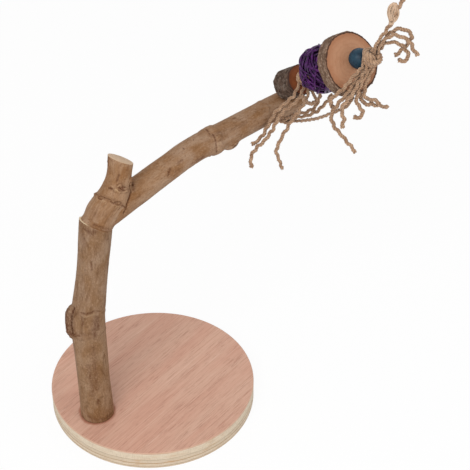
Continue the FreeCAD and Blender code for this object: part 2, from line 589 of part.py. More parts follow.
# Jute ends: the route of each, as offsets from the middle of the knot that holds it. They hang, kink and
# curl as jute does once it is unpicked, and one runs back to the knot under the perch.
ENDS = [
    ("tassel_end_1", "front_knot", [
        (-2.5, 2, -4), (-5, 1.5, -10.5), (-11, 6, -17.5), (-17.5, 5, -23), (-26.5, 4.5, -27.5), (-31.5, 6.5, -35),
        (-33, 9, -45), (-31, 7, -53.5), (-27.5, 3, -60.5), (-24, -3, -67.5), (-20.5, -8.5, -75.5)]),
    ("tassel_end_2", "front_knot", [
        (-5, -1, -3), (-7, -1.5, -9.5), (-11.5, 1.5, -17), (-17, 0.5, -22.5), (-24.5, -0.5, -27),
        (-31, -1, -31.5), (-30.5, -1, -38.5), (-29.5, -3.5, -44), (-31, -2.5, -50)]),
    ("tassel_end_3", "front_knot", [
        (-1.5, -2, -4), (-4, -2.5, -10.5), (-6, 2, -19.5), (-10.5, -0.5, -25), (-15, -1, -30), (-16, -2, -35),
        (-11.5, -3.5, -40.5), (-9.5, -4, -46.5), (-11, -2, -51), (-14, 1.5, -50.5)]),
    ("tassel_end_4", "front_knot", [
        (4, 0.5, -6), (2.5, 0.5, -12.5), (-2, 4.5, -23.5), (-7, 1.5, -28), (-9.5, 0, -33.5), (-5.5, -0.5, -40.5),
        (1, -2, -43), (8.5, -4, -46), (16, -6, -50.5)]),
    ("tassel_end_5", "front_knot", [
        (1.5, -3, -5), (0.5, -4, -11.5), (0, -1, -21.5), (-5, -2, -27.5), (-8, -3, -31), (-3.5, -2.5, -36.5),
        (3, -4, -38.5), (6.5, -6, -42.5)]),
    ("tassel_end_6", "front_knot", [
        (-6, 2.5, -3), (-8, 2.5, -9.5), (-14, 8, -15), (-20.5, 7.5, -19.5), (-29, 7.5, -24), (-32.5, 9.5, -29),
        (-31.5, 11.5, -35), (-28, 11, -39)]),
    ("link_end", "front_knot", [
        (1, 0.5, -4.5), (-1.5, 1, -11.5), (-6.5, 6, -21), (-12, 4, -25.5), (-16.5, 2, -31), (-19.5, 2.5, -36.5),
        (-20, 8, -43), (-18.5, 17.5, -51), (-15.5, 29.5, -61.5), (-11, 45, -74.5), (-5.5, 62, -87),
        (0, 78.5, -98.5), (0.5, 90, -104.5)]),
    ("plume_end_1", "front_knot", [
        (-1, -3, 5), (0, -3, 11.5), (1.5, -4, 18.5), (4, -6, 24.5), (7.5, -9.5, 28.5), (9.5, -11.5, 36),
        (11, -13, 44), (14, -15.5, 51)]),
    ("plume_end_2", "front_knot", [
        (2.5, 1, 5), (5.5, -3, 9.5), (9, -5, 15.5), (12, -7.5, 21.5), (16.5, -11.5, 23.5), (20.5, -15.5, 22.5),
        (25, -17.5, 18), (25.5, -15.5, 11), (22, -12.5, 4.5), (17.5, -8.5, -2)]),
    ("plume_end_3", "front_knot", [
        (2.5, -4, 3.5), (3.5, -7, 9), (6.5, -10, 15.5), (11, -13.5, 19), (16, -17.5, 18.5), (19.5, -21, 15),
        (20.5, -23, 9.5), (23, -26.5, 4)]),
    ("plume_end_4", "front_knot", [
        (5.5, -1, 3), (8, -6, 5.5), (11.5, -8.5, 10), (15.5, -12.5, 11.5), (20, -16, 9.5), (22.5, -19, 4),
        (23, -20, -2), (20, -17.5, -6), (16, -14, -4)]),
    ("mid_end_1", "mid_knot", [
        (-3.5, -3, -4), (-9, -7.5, -6), (-13.5, -7, -12.5), (-17.5, -1, -20), (-25, 2, -26), (-29, 3, -34),
        (-35, 3, -41.5), (-43, 3, -46.5), (-52, 4, -50.5), (-56.5, 4, -57.5), (-54.5, 4, -67)]),
    ("mid_end_2", "mid_knot", [
        (-6, 0, -1), (-12.5, -5, -3), (-17, -4, -9.5), (-20, 2, -17.5), (-26, 6, -24.5), (-30.5, 7.5, -32.5),
        (-36, 8, -41), (-43, 8, -47), (-50, 8, -48)]),
    ("mid_end_3", "mid_knot", [
        (1.5, -4.5, -4), (-4.5, -9.5, -8.5), (-7.5, -9, -16), (-10, -5, -25), (-13.5, -2, -32),
        (-18.5, -1, -39.5), (-24.5, -1, -45.5), (-27.5, -1, -51), (-31, 0, -56.5), (-28.5, 0, -66.5),
        (-23, 0, -80)]),
    ("mid_end_4", "mid_knot", [
        (5, -1, -4.5), (3, -4, -10.5), (5.5, -9, -17), (2, -11, -20), (-8, -14, -15), (-15.5, -16, -6.5),
        (-19.5, -17, 0.5)]),
    ("rear_end_1", "rear_knot", [
        (4, -1.5, -1), (13, -2, -4), (23.5, -4, -6), (30.5, -8, -2.5), (34.5, -13, 5.5), (37, -18, 16)]),
    ("rear_end_2", "rear_knot", [
        (3.5, 2.5, 0.5), (13, 3.5, -3), (28, 3, -8.5), (34.5, 0, -5), (36, -4, 4), (34, -8, 16.5)]),
]
ARC_RUN_SHARE = 0.45


def cord_path(name, points):
    """Straight runs joined by tangent arcs, each arc as large as its two runs allow."""
    edges = []
    radii = []
    last = points[0]
    for before, corner, after in zip(points, points[1:], points[2:]):
        back = (before - corner).normalize()
        on = (after - corner).normalize()
        reach = ARC_RUN_SHARE * min((before - corner).Length, (after - corner).Length)
        radii.append(reach * math.tan(back.getAngle(on) / 2))
        start = corner + back * reach
        end = corner + on * reach
        edges.append(Part.LineSegment(last, start).toShape())
        edges.append(tangent_arc(start, corner, end))
        last = end
    edges.append(Part.LineSegment(last, points[-1]).toShape())
    print(f"{name}: least radius {min(radii):.1f}, radii", " ".join(f"{radius:.0f}" for radius in radii))
    return Part.Wire(edges)


strand_radius = size("strand_diameter") / 2
for name, knot, offsets in ENDS:
    route = [knot_middle[knot] + Vector(*offset) for offset in offsets]
    path = cord_path(name, route)
    strand = tube(path, strand_radius)
    check_volume(name, strand, strand_radius, path.Length)
    for lump in lumps.values():
        outside = strand.cut(lump.Shape)
        strand = max(outside.Solids, key=lambda piece: piece.Volume)
    feature(name, strand)

# Plume tip: the top of the first plume end, untwisted and pressed flat
TIP_OFFSET = (10.2, -12.2, 39.5)
TIP_LEAN = Vector(0.19, -0.18, 1)
TIP_BEARING = -41
tip_turn = Rotation(Vector(0, 0, 1), TIP_LEAN).multiply(Rotation(Vector(0, 0, 1), TIP_BEARING))
tip_place = Placement(knot_middle["front_knot"] + Vector(*TIP_OFFSET), tip_turn)
half_long = size("tip_length") / 2
half_wide = size("tip_width") / 2
half_thick = size("tip_thickness") / 2
tip_bottom = Vector(0, -half_thick, -half_long)
tip_top = Vector(0, -half_thick, half_long)
tip_outline = Part.Wire([
    Part.Arc(tip_bottom, Vector(half_wide, -half_thick, 0), tip_top).toShape(),
    Part.Arc(tip_top, Vector(-half_wide, -half_thick, 0), tip_bottom).toShape(),
])
feature("plume_tip", Part.Face(tip_outline).extrude(Vector(0, size("tip_thickness"), 0)), tip_place)
doc.recompute()

# Every object built, and every sub-part one sound solid, before anything is written
for obj in doc.Objects:
    if "Invalid" in obj.State or "Error" in obj.State:
        raise RuntimeError(f"{obj.Name} failed: {obj.State}")
for node, obj in nodes.items():
    if obj.Shape.isNull() or not obj.Shape.isValid() or len(obj.Shape.Solids) != 1:
        raise RuntimeError(f"{node} is not one sound solid")
os.makedirs("parts", exist_ok=True)
triangles = 0
for node, obj in nodes.items():
    triangles += len(obj.Shape.tessellate(0.1)[1])
    obj.Shape.exportStep(f"parts/{node}.step")
print(f"{len(nodes)} sub-parts, about {triangles} triangles")
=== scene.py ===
import json
import math
import random

import bmesh
import bpy
import numpy as np
from mathutils import Matrix, Vector, noise
from mathutils.bvhtree import BVHTree
from mathutils.kdtree import KDTree


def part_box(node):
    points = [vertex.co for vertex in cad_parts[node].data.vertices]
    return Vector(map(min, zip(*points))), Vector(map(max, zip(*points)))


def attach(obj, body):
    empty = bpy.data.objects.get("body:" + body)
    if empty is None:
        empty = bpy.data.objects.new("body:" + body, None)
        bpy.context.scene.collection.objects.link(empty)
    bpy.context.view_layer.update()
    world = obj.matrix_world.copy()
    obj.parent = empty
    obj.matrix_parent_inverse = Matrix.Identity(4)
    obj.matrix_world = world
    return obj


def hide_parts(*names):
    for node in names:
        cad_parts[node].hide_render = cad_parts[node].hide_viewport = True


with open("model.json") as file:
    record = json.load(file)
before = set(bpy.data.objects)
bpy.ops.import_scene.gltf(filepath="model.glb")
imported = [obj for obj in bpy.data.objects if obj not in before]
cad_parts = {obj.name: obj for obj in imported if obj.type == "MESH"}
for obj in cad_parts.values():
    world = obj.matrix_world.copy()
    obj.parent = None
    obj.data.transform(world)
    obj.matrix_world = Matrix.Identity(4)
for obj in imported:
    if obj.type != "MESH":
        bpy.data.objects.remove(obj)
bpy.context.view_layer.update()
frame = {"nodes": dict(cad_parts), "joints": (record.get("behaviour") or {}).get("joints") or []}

scene = bpy.context.scene


# Base board: a disc of 18 mm plywood, sawn round and sanded, with a reddish face veneer left bare.
# The rim shows pale plies and the thin glue lines between them. A countersunk hole from below takes the
# screw that holds the post.
board_low, board_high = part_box("base_board")
board_radius = (board_high.x - board_low.x) / 2
board_thickness = board_high.z - board_low.z
board_sides = 192
board_edge_ease = 0.0007
board_edge_steps = 3
board_crease_angle = 10
veneer_upright = 0.95
veneer_grain_turn = math.radians(-10.5)
post_foot = Vector((-0.0615, 0, board_high.z))
foot_ring_radius = 0.0148
foot_ring_fade = 0.0027
screw_head_radius = 0.0046
screw_shank_radius = 0.0026
screw_recess = 0.0006
screw_cone_depth = 0.0046
screw_hole_sides = 48
cut_overrun = 0.001


def feed(tree, socket, value):
    """Link a socket's value from another socket, or set it."""
    if isinstance(value, bpy.types.NodeSocket):
        tree.links.new(value, socket)
    else:
        socket.default_value = value


def add(tree, kind, inputs=None, **settings):
    """A shader node with its settings and its inputs, each a socket or a plain value."""
    made = tree.nodes.new("ShaderNode" + kind)
    for name, value in settings.items():
        setattr(made, name, value)
    for name, value in (inputs or {}).items():
        feed(tree, made.inputs[name], value)
    return made


def stretch(tree, vector, scale, turn=0.0, shift=(0, 0, 0)):
    """A pattern's coordinates, turned about Z, moved and then scaled along each axis."""
    turned_first = add(tree, "Mapping", {"Vector": vector, "Rotation": (0, 0, turn), "Location": shift})
    return add(tree, "Mapping", {"Vector": turned_first.outputs["Vector"], "Scale": scale}).outputs["Vector"]


def speckle(tree, vector, scale, detail=3.0, rough=0.55, warp=0.0):
    """Cloudy noise from 0 to 1."""
    settings = {"Vector": vector, "Scale": scale, "Detail": detail, "Roughness": rough, "Distortion": warp}
    return add(tree, "TexNoise", settings).outputs["Fac"]


def between(tree, value, low, high, floor=0.0, ceiling=1.0):
    """A value eased from floor to ceiling as it goes from low to high."""
    limits = {"Value": value, "From Min": low, "From Max": high, "To Min": floor, "To Max": ceiling}
    return add(tree, "MapRange", limits, interpolation_type="SMOOTHSTEP").outputs["Result"]


def reckon(tree, operation, first, second=0.0):
    """A Math node's result."""
    made = add(tree, "Math", operation=operation)
    feed(tree, made.inputs[0], first)
    feed(tree, made.inputs[1], second)
    return made.outputs["Value"]


def tint(tree, factor, first, second, mode="MIX"):
    """Two colours mixed by a factor."""
    made = add(tree, "Mix", data_type="RGBA", blend_type=mode)
    feed(tree, made.inputs[0], factor)
    feed(tree, made.inputs[6], first)
    feed(tree, made.inputs[7], second)
    return made.outputs[2]


def rgb(red, green, blue):
    """An opaque colour."""
    return (red, green, blue, 1.0)


def new_material(name, roughness, specular=0.25):
    """A Principled material, its node tree and its shader."""
    made = bpy.data.materials.new(name)
    made.use_nodes = True
    shader = made.node_tree.nodes["Principled BSDF"]
    shader.inputs["Roughness"].default_value = roughness
    shader.inputs["Specular IOR Level"].default_value = specular
    return made, made.node_tree, shader


def on_piece(tree):
    """Places on the piece, in metres."""
    return add(tree, "TexCoord").outputs["Object"]


def distance_from(tree, place, point):
    """How far a place lies from a point of the object."""
    return add(tree, "VectorMath", {0: place, 1: tuple(point)}, operation="DISTANCE").outputs["Value"]


def dress(tree, shader, colour, relief, depth, strength, roughness=None):
    """Give a shader its colour, its fine relief, in metres at full depth, and a roughness that varies."""
    tree.links.new(colour, shader.inputs["Base Color"])
    if roughness is not None:
        tree.links.new(roughness, shader.inputs["Roughness"])
    bump = add(tree, "Bump", {"Height": relief, "Distance": depth, "Strength": strength})
    tree.links.new(bump.outputs["Normal"], shader.inputs["Normal"])


def finished(name, bm, materials, sharp_angle=45):
    """A bmesh made into a smooth-shaded object whose creases stay sharp."""
    mesh = bpy.data.meshes.new(name)
    bm.to_mesh(mesh)
    bm.free()
    for material in materials:
        mesh.materials.append(material)
    mesh.shade_smooth()
    mesh.set_sharp_from_angle(angle=math.radians(sharp_angle))
    made = bpy.data.objects.new(name, mesh)
    scene.collection.objects.link(made)
    return made


def seat(obj, body, slot, *nodes):
    """Let a piece ride on its body and stand for its nodes."""
    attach(obj, body)
    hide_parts(*nodes)


def turned(profile, steps, pitch=None):
    """A closed profile of (radius, height) points spun about Z, its runs first divided to about the pitch."""
    bm = bmesh.new()
    corners = [bm.verts.new((radius, 0, height)) for radius, height in profile]
    edges = [bm.edges.new(pair) for pair in zip(corners, corners[1:] + corners[:1])]
    for edge in edges:
        cuts = int(edge.calc_length() / pitch) if pitch else 0
        if cuts:
            bmesh.ops.subdivide_edges(bm, edges=[edge], cuts=cuts)
    outline = bm.verts[:] + bm.edges[:]
    bmesh.ops.spin(
        bm, geom=outline, cent=(0, 0, 0), axis=(0, 0, 1), dvec=(0, 0, 0),
        angle=math.tau, steps=steps, use_merge=True)
    bmesh.ops.remove_doubles(bm, verts=bm.verts, dist=1e-7)
    bmesh.ops.recalc_face_normals(bm, faces=bm.faces)
    return bm


def drill(piece, profile, x, sides, crease_angle):
    """Cut a turned bit, which stands upright at x, out of a piece for good."""
    bit = finished("bit", turned(profile, sides), [])
    bit.data.transform(Matrix.Translation((x, 0, 0)))
    boring = piece.modifiers.new("boring", "BOOLEAN")
    boring.object = bit
    boring.solver = "EXACT"
    piece.data = bpy.data.meshes.new_from_object(piece.evaluated_get(bpy.context.evaluated_depsgraph_get()))
    piece.modifiers.remove(boring)
    piece.data.shade_smooth()
    piece.data.set_sharp_from_angle(angle=math.radians(crease_angle))
    bpy.data.objects.remove(bit)


def veneer_material():
    made, tree, shader = new_material("bare_veneer", 0.62)
    place = on_piece(tree)
    bands = speckle(tree, stretch(tree, place, (9, 52, 9), veneer_grain_turn), 1, 3)
    lines = speckle(tree, stretch(tree, place, (14, 980, 14), veneer_grain_turn), 1, 4, 0.75, 0.15)
    pores = speckle(tree, stretch(tree, place, (85, 1700, 85), veneer_grain_turn), 1, 2)
    gate = speckle(tree, stretch(tree, place, (14, 120, 14), veneer_grain_turn, (0.4, 0.2, 0)), 1, 2)
    colour = tint(tree, between(tree, bands, 0.35, 0.65), rgb(0.625, 0.350, 0.255), rgb(0.66, 0.405, 0.300))
    colour = tint(tree, between(tree, lines, 0.5, 0.7, 0, 0.5), colour, rgb(0.45, 0.205, 0.135))
    colour = tint(tree, between(tree, lines, 0.46, 0.32, 0, 0.45), colour, rgb(0.75, 0.51, 0.39))
    pore = reckon(
        tree, "MULTIPLY", between(tree, pores, 0.53, 0.66), between(tree, gate, 0.36, 0.6, 0.45, 1.0))
    colour = tint(tree, reckon(tree, "MULTIPLY", pore, 0.4), colour, rgb(0.34, 0.135, 0.085))
    # A darker reddish ring on the board about the post's foot, with a ragged edge.
    from_foot = distance_from(tree, place, post_foot)
    ragged = reckon(tree, "ADD", from_foot, between(tree, gate, 0.3, 0.7, -0.0006, 0.0006))
    stain = between(tree, ragged, foot_ring_radius + foot_ring_fade, foot_ring_radius, 0.0, 0.75)
    colour = tint(tree, stain, colour, rgb(0.33, 0.10, 0.045))
    relief = reckon(tree, "SUBTRACT", reckon(tree, "MULTIPLY", lines, 0.5), pore)
    dress(tree, shader, colour, relief, 0.00018, 0.6, between(tree, lines, 0.2, 0.8, 0.52, 0.72))
    return made


# Shares of the board's thickness at which each layer starts, from the underside up, and its colour.
ply_layer_shares = [
    (0.0, rgb(0.64, 0.52, 0.385)),
    (0.11, rgb(0.36, 0.22, 0.12)),
    (0.135, rgb(0.70, 0.585, 0.45)),
    (0.30, rgb(0.43, 0.28, 0.16)),
    (0.345, rgb(0.66, 0.545, 0.41)),
    (0.53, rgb(0.42, 0.32, 0.22)),
    (0.555, rgb(0.73, 0.62, 0.48)),
    (0.925, rgb(0.62, 0.40, 0.27)),
    (0.945, rgb(0.66, 0.42, 0.31)),
]


def ply_material():
    made, tree, shader = new_material("ply_edge", 0.7)
    place = on_piece(tree)
    wander = speckle(tree, place, 45, 2)
    height = add(tree, "SeparateXYZ", {"Vector": place}).outputs["Z"]
    share = reckon(tree, "DIVIDE", height, board_thickness)
    share = reckon(tree, "ADD", share, between(tree, wander, 0.3, 0.7, -0.012, 0.012))
    layers = add(tree, "ValToRGB", {"Fac": share})
    layers.color_ramp.interpolation = "CONSTANT"
    stops = layers.color_ramp.elements
    for number, (start, colour) in enumerate(ply_layer_shares):
        stop = stops[number] if number < 2 else stops.new(start)
        stop.position = start
        stop.color = colour
    along = speckle(tree, stretch(tree, place, (90, 90, 2600)), 1, 4, 0.65)
    across = speckle(tree, stretch(tree, place, (1700, 1700, 240)), 1, 3)
    stain = speckle(tree, stretch(tree, place, (70, 70, 420)), 1, 3)
    layer = layers.outputs["Color"]
    colour = tint(tree, between(tree, along, 0.42, 0.68, 0.0, 0.5), layer, rgb(0.44, 0.31, 0.19))
    colour = tint(tree, between(tree, across, 0.48, 0.7, 0.0, 0.35), colour, rgb(0.46, 0.34, 0.23))
    colour = tint(tree, between(tree, stain, 0.55, 0.74, 0.0, 0.6), colour, rgb(0.55, 0.33, 0.17))
    luminance = add(tree, "RGBToBW", {"Color": layer}).outputs["Val"]
    relief = reckon(tree, "ADD", luminance, reckon(tree, "MULTIPLY", along, 0.6))
    dress(tree, shader, colour, relief, 0.00035, 0.7)
    return made


bm = bmesh.new()
bmesh.ops.create_circle(bm, cap_ends=True, segments=board_sides, radius=board_radius)
lifted = bmesh.ops.extrude_face_region(bm, geom=bm.faces[:])["geom"]
lifted_verts = [item for item in lifted if isinstance(item, bmesh.types.BMVert)]
bmesh.ops.translate(bm, verts=lifted_verts, vec=(0, 0, board_thickness))
bmesh.ops.recalc_face_normals(bm, faces=bm.faces)
rims = [edge for edge in bm.edges if abs(edge.verts[0].co.z - edge.verts[1].co.z) < board_edge_ease]
bmesh.ops.bevel(
    bm, geom=rims, offset=board_edge_ease, affect="EDGES", segments=board_edge_steps, profile=0.5,
    material=-1)
for face in bm.faces:
    face.material_index = 0 if abs(face.normal.z) > veneer_upright else 1
board = finished("base_board_piece", bm, [veneer_material(), ply_material()], board_crease_angle)
screw_hole = [
    (0, -cut_overrun), (screw_head_radius, -cut_overrun), (screw_head_radius, screw_recess),
    (screw_shank_radius, screw_cone_depth), (screw_shank_radius, board_thickness + cut_overrun),
    (0, board_thickness + cut_overrun)]
drill(board, screw_hole, post_foot.x, screw_hole_sides, board_crease_angle)
seat(board, "stand", "plywood", "base_board")


# Screw and dowel: a zinc-plated wood screw up through the board into the post's foot, and a turned birch
# dowel glued across the mitre. Both are hidden once the stand is together, apart from the screw's head.
def screw_material():
    made, tree, shader = new_material("zinc_screw", 0.32, 0.5)
    shader.inputs["Metallic"].default_value = 1.0
    grey = speckle(tree, on_piece(tree), 900, 3)
    colour = tint(tree, grey, rgb(0.46, 0.46, 0.43), rgb(0.68, 0.68, 0.64))
    dress(tree, shader, colour, grey, 0.00005, 0.4, between(tree, grey, 0.3, 0.7, 0.25, 0.45))
    return made


def dowel_material():
    made, tree, shader = new_material("turned_dowel", 0.6)
    fibres = speckle(tree, stretch(tree, on_piece(tree), (900, 900, 60)), 1, 4)
    colour = tint(tree, fibres, rgb(0.46, 0.31, 0.19), rgb(0.66, 0.50, 0.34))
    dress(tree, shader, colour, fibres, 0.0001, 0.5)
    return made


for node, material in (("post_screw", screw_material()), ("elbow_dowel", dowel_material())):
    frame["nodes"][node].data.materials.clear()
    frame["nodes"][node].data.materials.append(material)


# Post: a straight length of branch with its smooth bark left on, leaning a little along the perch.
# A side branch was lost low down and its stump has healed over with a dark lip. The foot is sawn square and
# screwed from below; the top is sawn to a mitre.
mitre_middle = Vector((-0.0484, 0, 0.2176))
mitre_tilt = math.radians(33)
mitre_normal = Vector((math.sin(mitre_tilt), 0, math.cos(mitre_tilt)))
post_rise = mitre_middle - post_foot
post_radius = 0.014
# Height and lean as shares of the post's own, and thickness as a share of its radius.
post_stations = [
    (-0.06, 0.02, 1.03), (0.06, -0.02, 1.01), (0.18, -0.06, 0.99), (0.30, -0.095, 0.99),
    (0.40, -0.135, 1.0), (0.47, -0.15, 1.02), (0.53, -0.14, 1.03), (0.58, -0.06, 0.99),
    (0.64, 0.11, 0.96), (0.75, 0.44, 0.92), (0.85, 0.67, 0.92), (0.94, 0.87, 0.95), (1.12, 1.27, 0.97)]
stump_middle = post_foot + Vector((post_rise.x * -0.14, 0, post_rise.z * 0.527))
stump_bearing = math.radians(139)
stump_out = Vector((math.cos(stump_bearing), math.sin(stump_bearing), 0))
stump_face = 0.0155
stump_face_ease = 0.0008
stump_swell_out = 0.0085
stump_half_high = 0.0185
stump_half_wide = 0.0112
stump_round_share = 0.6
stump_hollow_radius = 0.0045
stump_hollow_depth = 0.0014
stump_lip_out = 0.0008
stump_lip_half = 0.0030
stump_lip_radius = 0.0165
stump_lip_height = 0.0005
stump_pixel = (84, 322)
stump_marks_reach = 0.022
bark_voxel = 0.0009
post_smoothings = 5
post_swell = 0.0005
post_flute = 0.00022
mitre_clearance = 0.00005
foot_clearance = 0.0001
# Old bud rings: place along the post, half width and height in metres, and shade.
post_rings = [(0.1105, 0.0011, 0.0004, 0.28), (0.131, 0.0010, 0.0003, 0.22)]
post_ring_wander = 0.004
# The camera that took the photo, and the sight line through any of its pixels.
camera_place = Vector((-0.5391, -0.7296, 0.8919))
camera_away = Vector((0.6574, 0.7536, 0))
camera_pitch = math.radians(38.15)
camera_focus_pixels = 1400
photo_pixels = 470
camera_ahead = camera_away * math.cos(camera_pitch) - Vector((0, 0, math.sin(camera_pitch)))
camera_right = Vector((camera_away.y, -camera_away.x, 0))
camera_up = camera_right.cross(camera_ahead)


def sight(across, down):
    """Direction from the camera through a pixel of the photo."""
    middle = photo_pixels / 2
    ahead = camera_ahead * camera_focus_pixels
    return (ahead + camera_right * (across - middle) - camera_up * (down - middle)).normalized()


def eased(stations, steps=6):
    """Stations along a limb, with more between them on a curve that passes through each."""
    rows = np.array(stations)
    line = []
    for index in range(len(rows) - 1):
        before = rows[max(index - 1, 0)]
        start = rows[index]
        end = rows[index + 1]
        after = rows[min(index + 2, len(rows) - 1)]
        for step in range(steps):
            s = step / steps
            line.append(0.5 * (
                2 * start + (end - before) * s + (2 * before - 5 * start + 4 * end - after) * s ** 2
                + (3 * start - before - 3 * end + after) * s ** 3))
    return np.array(line + [rows[-1]])


def grow_limb(bm, line, sides=40):
    """Extrude a ring of edges along a limb's stations (x, y, z, radius) and close both ends."""
    places = []
    for index, station in enumerate(line):
        ahead = line[min(index + 1, len(line) - 1)]
        behind = line[max(index - 1, 0)]
        heading = Vector(ahead[:3] - behind[:3]).normalized()
        side = Vector((0, 1, 0))
        turn = Matrix((side.cross(heading), side, heading)).transposed().to_4x4()
        places.append(Matrix.Translation(station[:3]) @ turn @ Matrix.Scale(station[3], 4))
    ring = bmesh.ops.create_circle(bm, cap_ends=True, segments=sides, radius=1, matrix=places[0])["verts"]
    edges = list({edge for vert in ring for edge in vert.link_edges})
    for last, place in zip(places, places[1:]):
        grown = bmesh.ops.extrude_edge_only(bm, edges=edges)["geom"]
        verts = {item for item in grown if isinstance(item, bmesh.types.BMVert)}
        edges = [item for item in grown if isinstance(item, bmesh.types.BMEdge) and set(item.verts) <= verts]
        bmesh.ops.transform(bm, matrix=place @ last.inverted(), verts=list(verts))
    bmesh.ops.contextual_create(bm, geom=edges)


def grow_lump(bm, middle, heading, half_long, half_wide):
    """A swelling: an ellipsoid whose long axis follows the heading."""
    turn = heading.to_track_quat("Z", "Y").to_matrix().to_4x4()
    sizes = Matrix.Diagonal((half_wide, half_wide, half_long, 1))
    bmesh.ops.create_icosphere(bm, subdivisions=4, radius=1, matrix=Matrix.Translation(middle) @ turn @ sizes)


def soften(skin, verts, times):
    """Even out part of a skin."""
    for _ in range(times):
        bmesh.ops.smooth_vert(
            skin, verts=verts, factor=0.5, use_axis_x=True, use_axis_y=True, use_axis_z=True)


def grown_together(bm, voxel, smoothings):
    """One even skin over limbs and lumps that run into each other."""
    bmesh.ops.recalc_face_normals(bm, faces=bm.faces)
    rough = finished("growing", bm, [])
    skin = rough.modifiers.new("skin", "REMESH")
    skin.mode = "VOXEL"
    skin.voxel_size = voxel
    mesh = bpy.data.meshes.new_from_object(rough.evaluated_get(bpy.context.evaluated_depsgraph_get()))
    grown = bmesh.new()
    grown.from_mesh(mesh)
    bpy.data.objects.remove(rough)
    soften(grown, grown.verts, smoothings)
    grown.verts.index_update()
    return grown


def grain_along(points, *lines):
    """Each point's place in its nearest limb: across, up from the limb's line, and along it, in metres."""
    best = np.full(len(points), np.inf)
    grain = np.zeros((len(points), 3))
    for line in lines:
        starts = line[:-1, :3]
        runs = line[1:, :3] - starts
        lengths = np.linalg.norm(runs, axis=1)
        before = np.concatenate([[0], np.cumsum(lengths)])
        for index, run in enumerate(runs):
            heading = run / lengths[index]
            offset = points - starts[index]
            along = offset @ heading
            reach = np.clip(along, 0 if index else -1, lengths[index] if index < len(runs) - 1 else 1)
            away = offset - reach[:, None] * heading
            share = np.linalg.norm(away, axis=1) / line[index, 3]
            nearer = share < best
            best[nearer] = share[nearer]
            rise = np.cross(heading, (0, 1, 0))
            place = np.stack([away[:, 1], away @ rise, reach + before[index]], axis=1)
            grain[nearer] = place[nearer]
    return grain


def scored(skin, marks):
    """Lift and shade of the bark at each vertex, a dark scar above 0 and a pale painted highlight below, from
    lines of photo pixels.
    """
    tree = BVHTree.FromBMesh(skin)
    lift = np.zeros(len(skin.verts))
    dark = np.zeros(len(skin.verts))
    pale = np.zeros(len(skin.verts))
    for pixels, width, height, shade in marks:
        spots = []
        for (x0, y0), (x1, y1) in zip(pixels, pixels[1:]):
            steps = 1 + int(2 * math.hypot(x1 - x0, y1 - y0))
            for step in range(steps + 1):
                s = step / steps
                hit = tree.ray_cast(camera_place, sight(x0 + s * (x1 - x0), y0 + s * (y1 - y0)))[0]
                if hit:
                    spots.append(hit)
        near = KDTree(len(spots))
        for index, spot in enumerate(spots):
            near.insert(spot, index)
        near.balance()
        for vert in skin.verts:
            fade = math.exp(-(near.find(vert.co)[2] / width) ** 2)
            lift[vert.index] += height * fade * (1 + 0.9 * noise.noise(vert.co * 800))
            dark[vert.index] = max(dark[vert.index], shade * fade)
            # Shades below 0 are painted highlights along ridges.
            pale[vert.index] = min(pale[vert.index], shade * fade)
    return lift, dark + pale * (1 - dark)


def seen_at(skin, pixel):
    """The place on a skin that a pixel of the photo shows."""
    return BVHTree.FromBMesh(skin).ray_cast(camera_place, sight(*pixel))[0]


def refine(skin, middle, reach):
    """Halve the skin's mesh about a place, so that it holds finer marks."""
    near = [face for face in skin.faces if (face.calc_center_median() - middle).length < reach]
    edges = list({edge for face in near for edge in face.edges})
    bmesh.ops.subdivide_edges(skin, edges=edges, cuts=1, use_grid_fill=True)
    skin.verts.index_update()


def ridge(along, where, width):
    """A ridge across the limb, 1 at its crest."""
    return np.exp(-((along - where) / width) ** 2)


def noise_of(rows, scales, shift=(0, 0, 0)):
    """Noise at each row of coordinates, which are scaled along each axis and then shifted."""
    return np.array([noise.noise(Vector(row)) for row in np.array(rows) * scales + shift])


def rough_up(grain, swell, flute):
    """Uneven growth: slow swellings and fine flutes along the grain."""
    slow = noise_of(grain, (90, 90, 28))
    quick = noise_of(grain, (420, 420, 60))
    fine = noise_of(grain, (900, 900, 320))
    return swell * slow + flute * (0.6 * quick + 0.4 * fine)


def move_out(skin, lift):
    """Move each vertex along its normal."""
    skin.normal_update()
    moves = [vert.normal * lift[vert.index] for vert in skin.verts]
    for vert, move in zip(skin.verts, moves):
        vert.co += move


def saw(skin, place, normal, ease=0.0004, reach=None):
    """Saw a limb through, keep what lies behind the cut, and close it with a face of end grain.

    With a reach, the saw leaves alone what lies further than that from the cut.
    """
    faces = skin.faces[:]
    verts = skin.verts[:]
    edges = skin.edges[:]
    if reach:
        faces = [face for face in faces if (face.calc_center_median() - place).length < reach]
        verts = list({vert for face in faces for vert in face.verts})
        edges = list({edge for face in faces for edge in face.edges})
    cut = bmesh.ops.bisect_plane(
        skin, geom=verts + edges + faces, dist=1e-7, plane_co=place, plane_no=normal, clear_outer=True)
    rim = [item for item in cut["geom_cut"] if isinstance(item, bmesh.types.BMEdge)]
    made = bmesh.ops.contextual_create(skin, geom=rim)["faces"]
    for face in made:
        face.material_index = 1
    bmesh.ops.recalc_face_normals(skin, faces=made)
    bmesh.ops.bevel(
        skin, geom=rim, offset=ease, affect="EDGES", segments=2, profile=0.5, material=0,
        clamp_overlap=True)


def store(mesh, name, kind, values):
    """Keep a value at each vertex for the material."""
    field = {"FLOAT": "value", "FLOAT_VECTOR": "vector"}[kind]
    row = np.ascontiguousarray(values, np.float32).ravel()
    mesh.attributes.new(name, kind, "POINT").data.foreach_set(field, row)


def keep_grain(piece, *lines):
    """Keep each vertex's place in the grain of its limb."""
    points = np.array([vert.co for vert in piece.data.vertices])
    store(piece.data, "grain", "FLOAT_VECTOR", grain_along(points, *lines))


def keep_scar(skin, scar_and_highlight):
    """Keep each vertex's shade, from a pale painted highlight at -1 to a dark scar at 1."""
    layer = skin.verts.layers.float.new("scar_and_highlight")
    for vert, value in zip(skin.verts, np.clip(scar_and_highlight, -1, 1)):
        vert[layer] = value


def vertices_of(bm):
    return np.array([vert.co for vert in bm.verts])


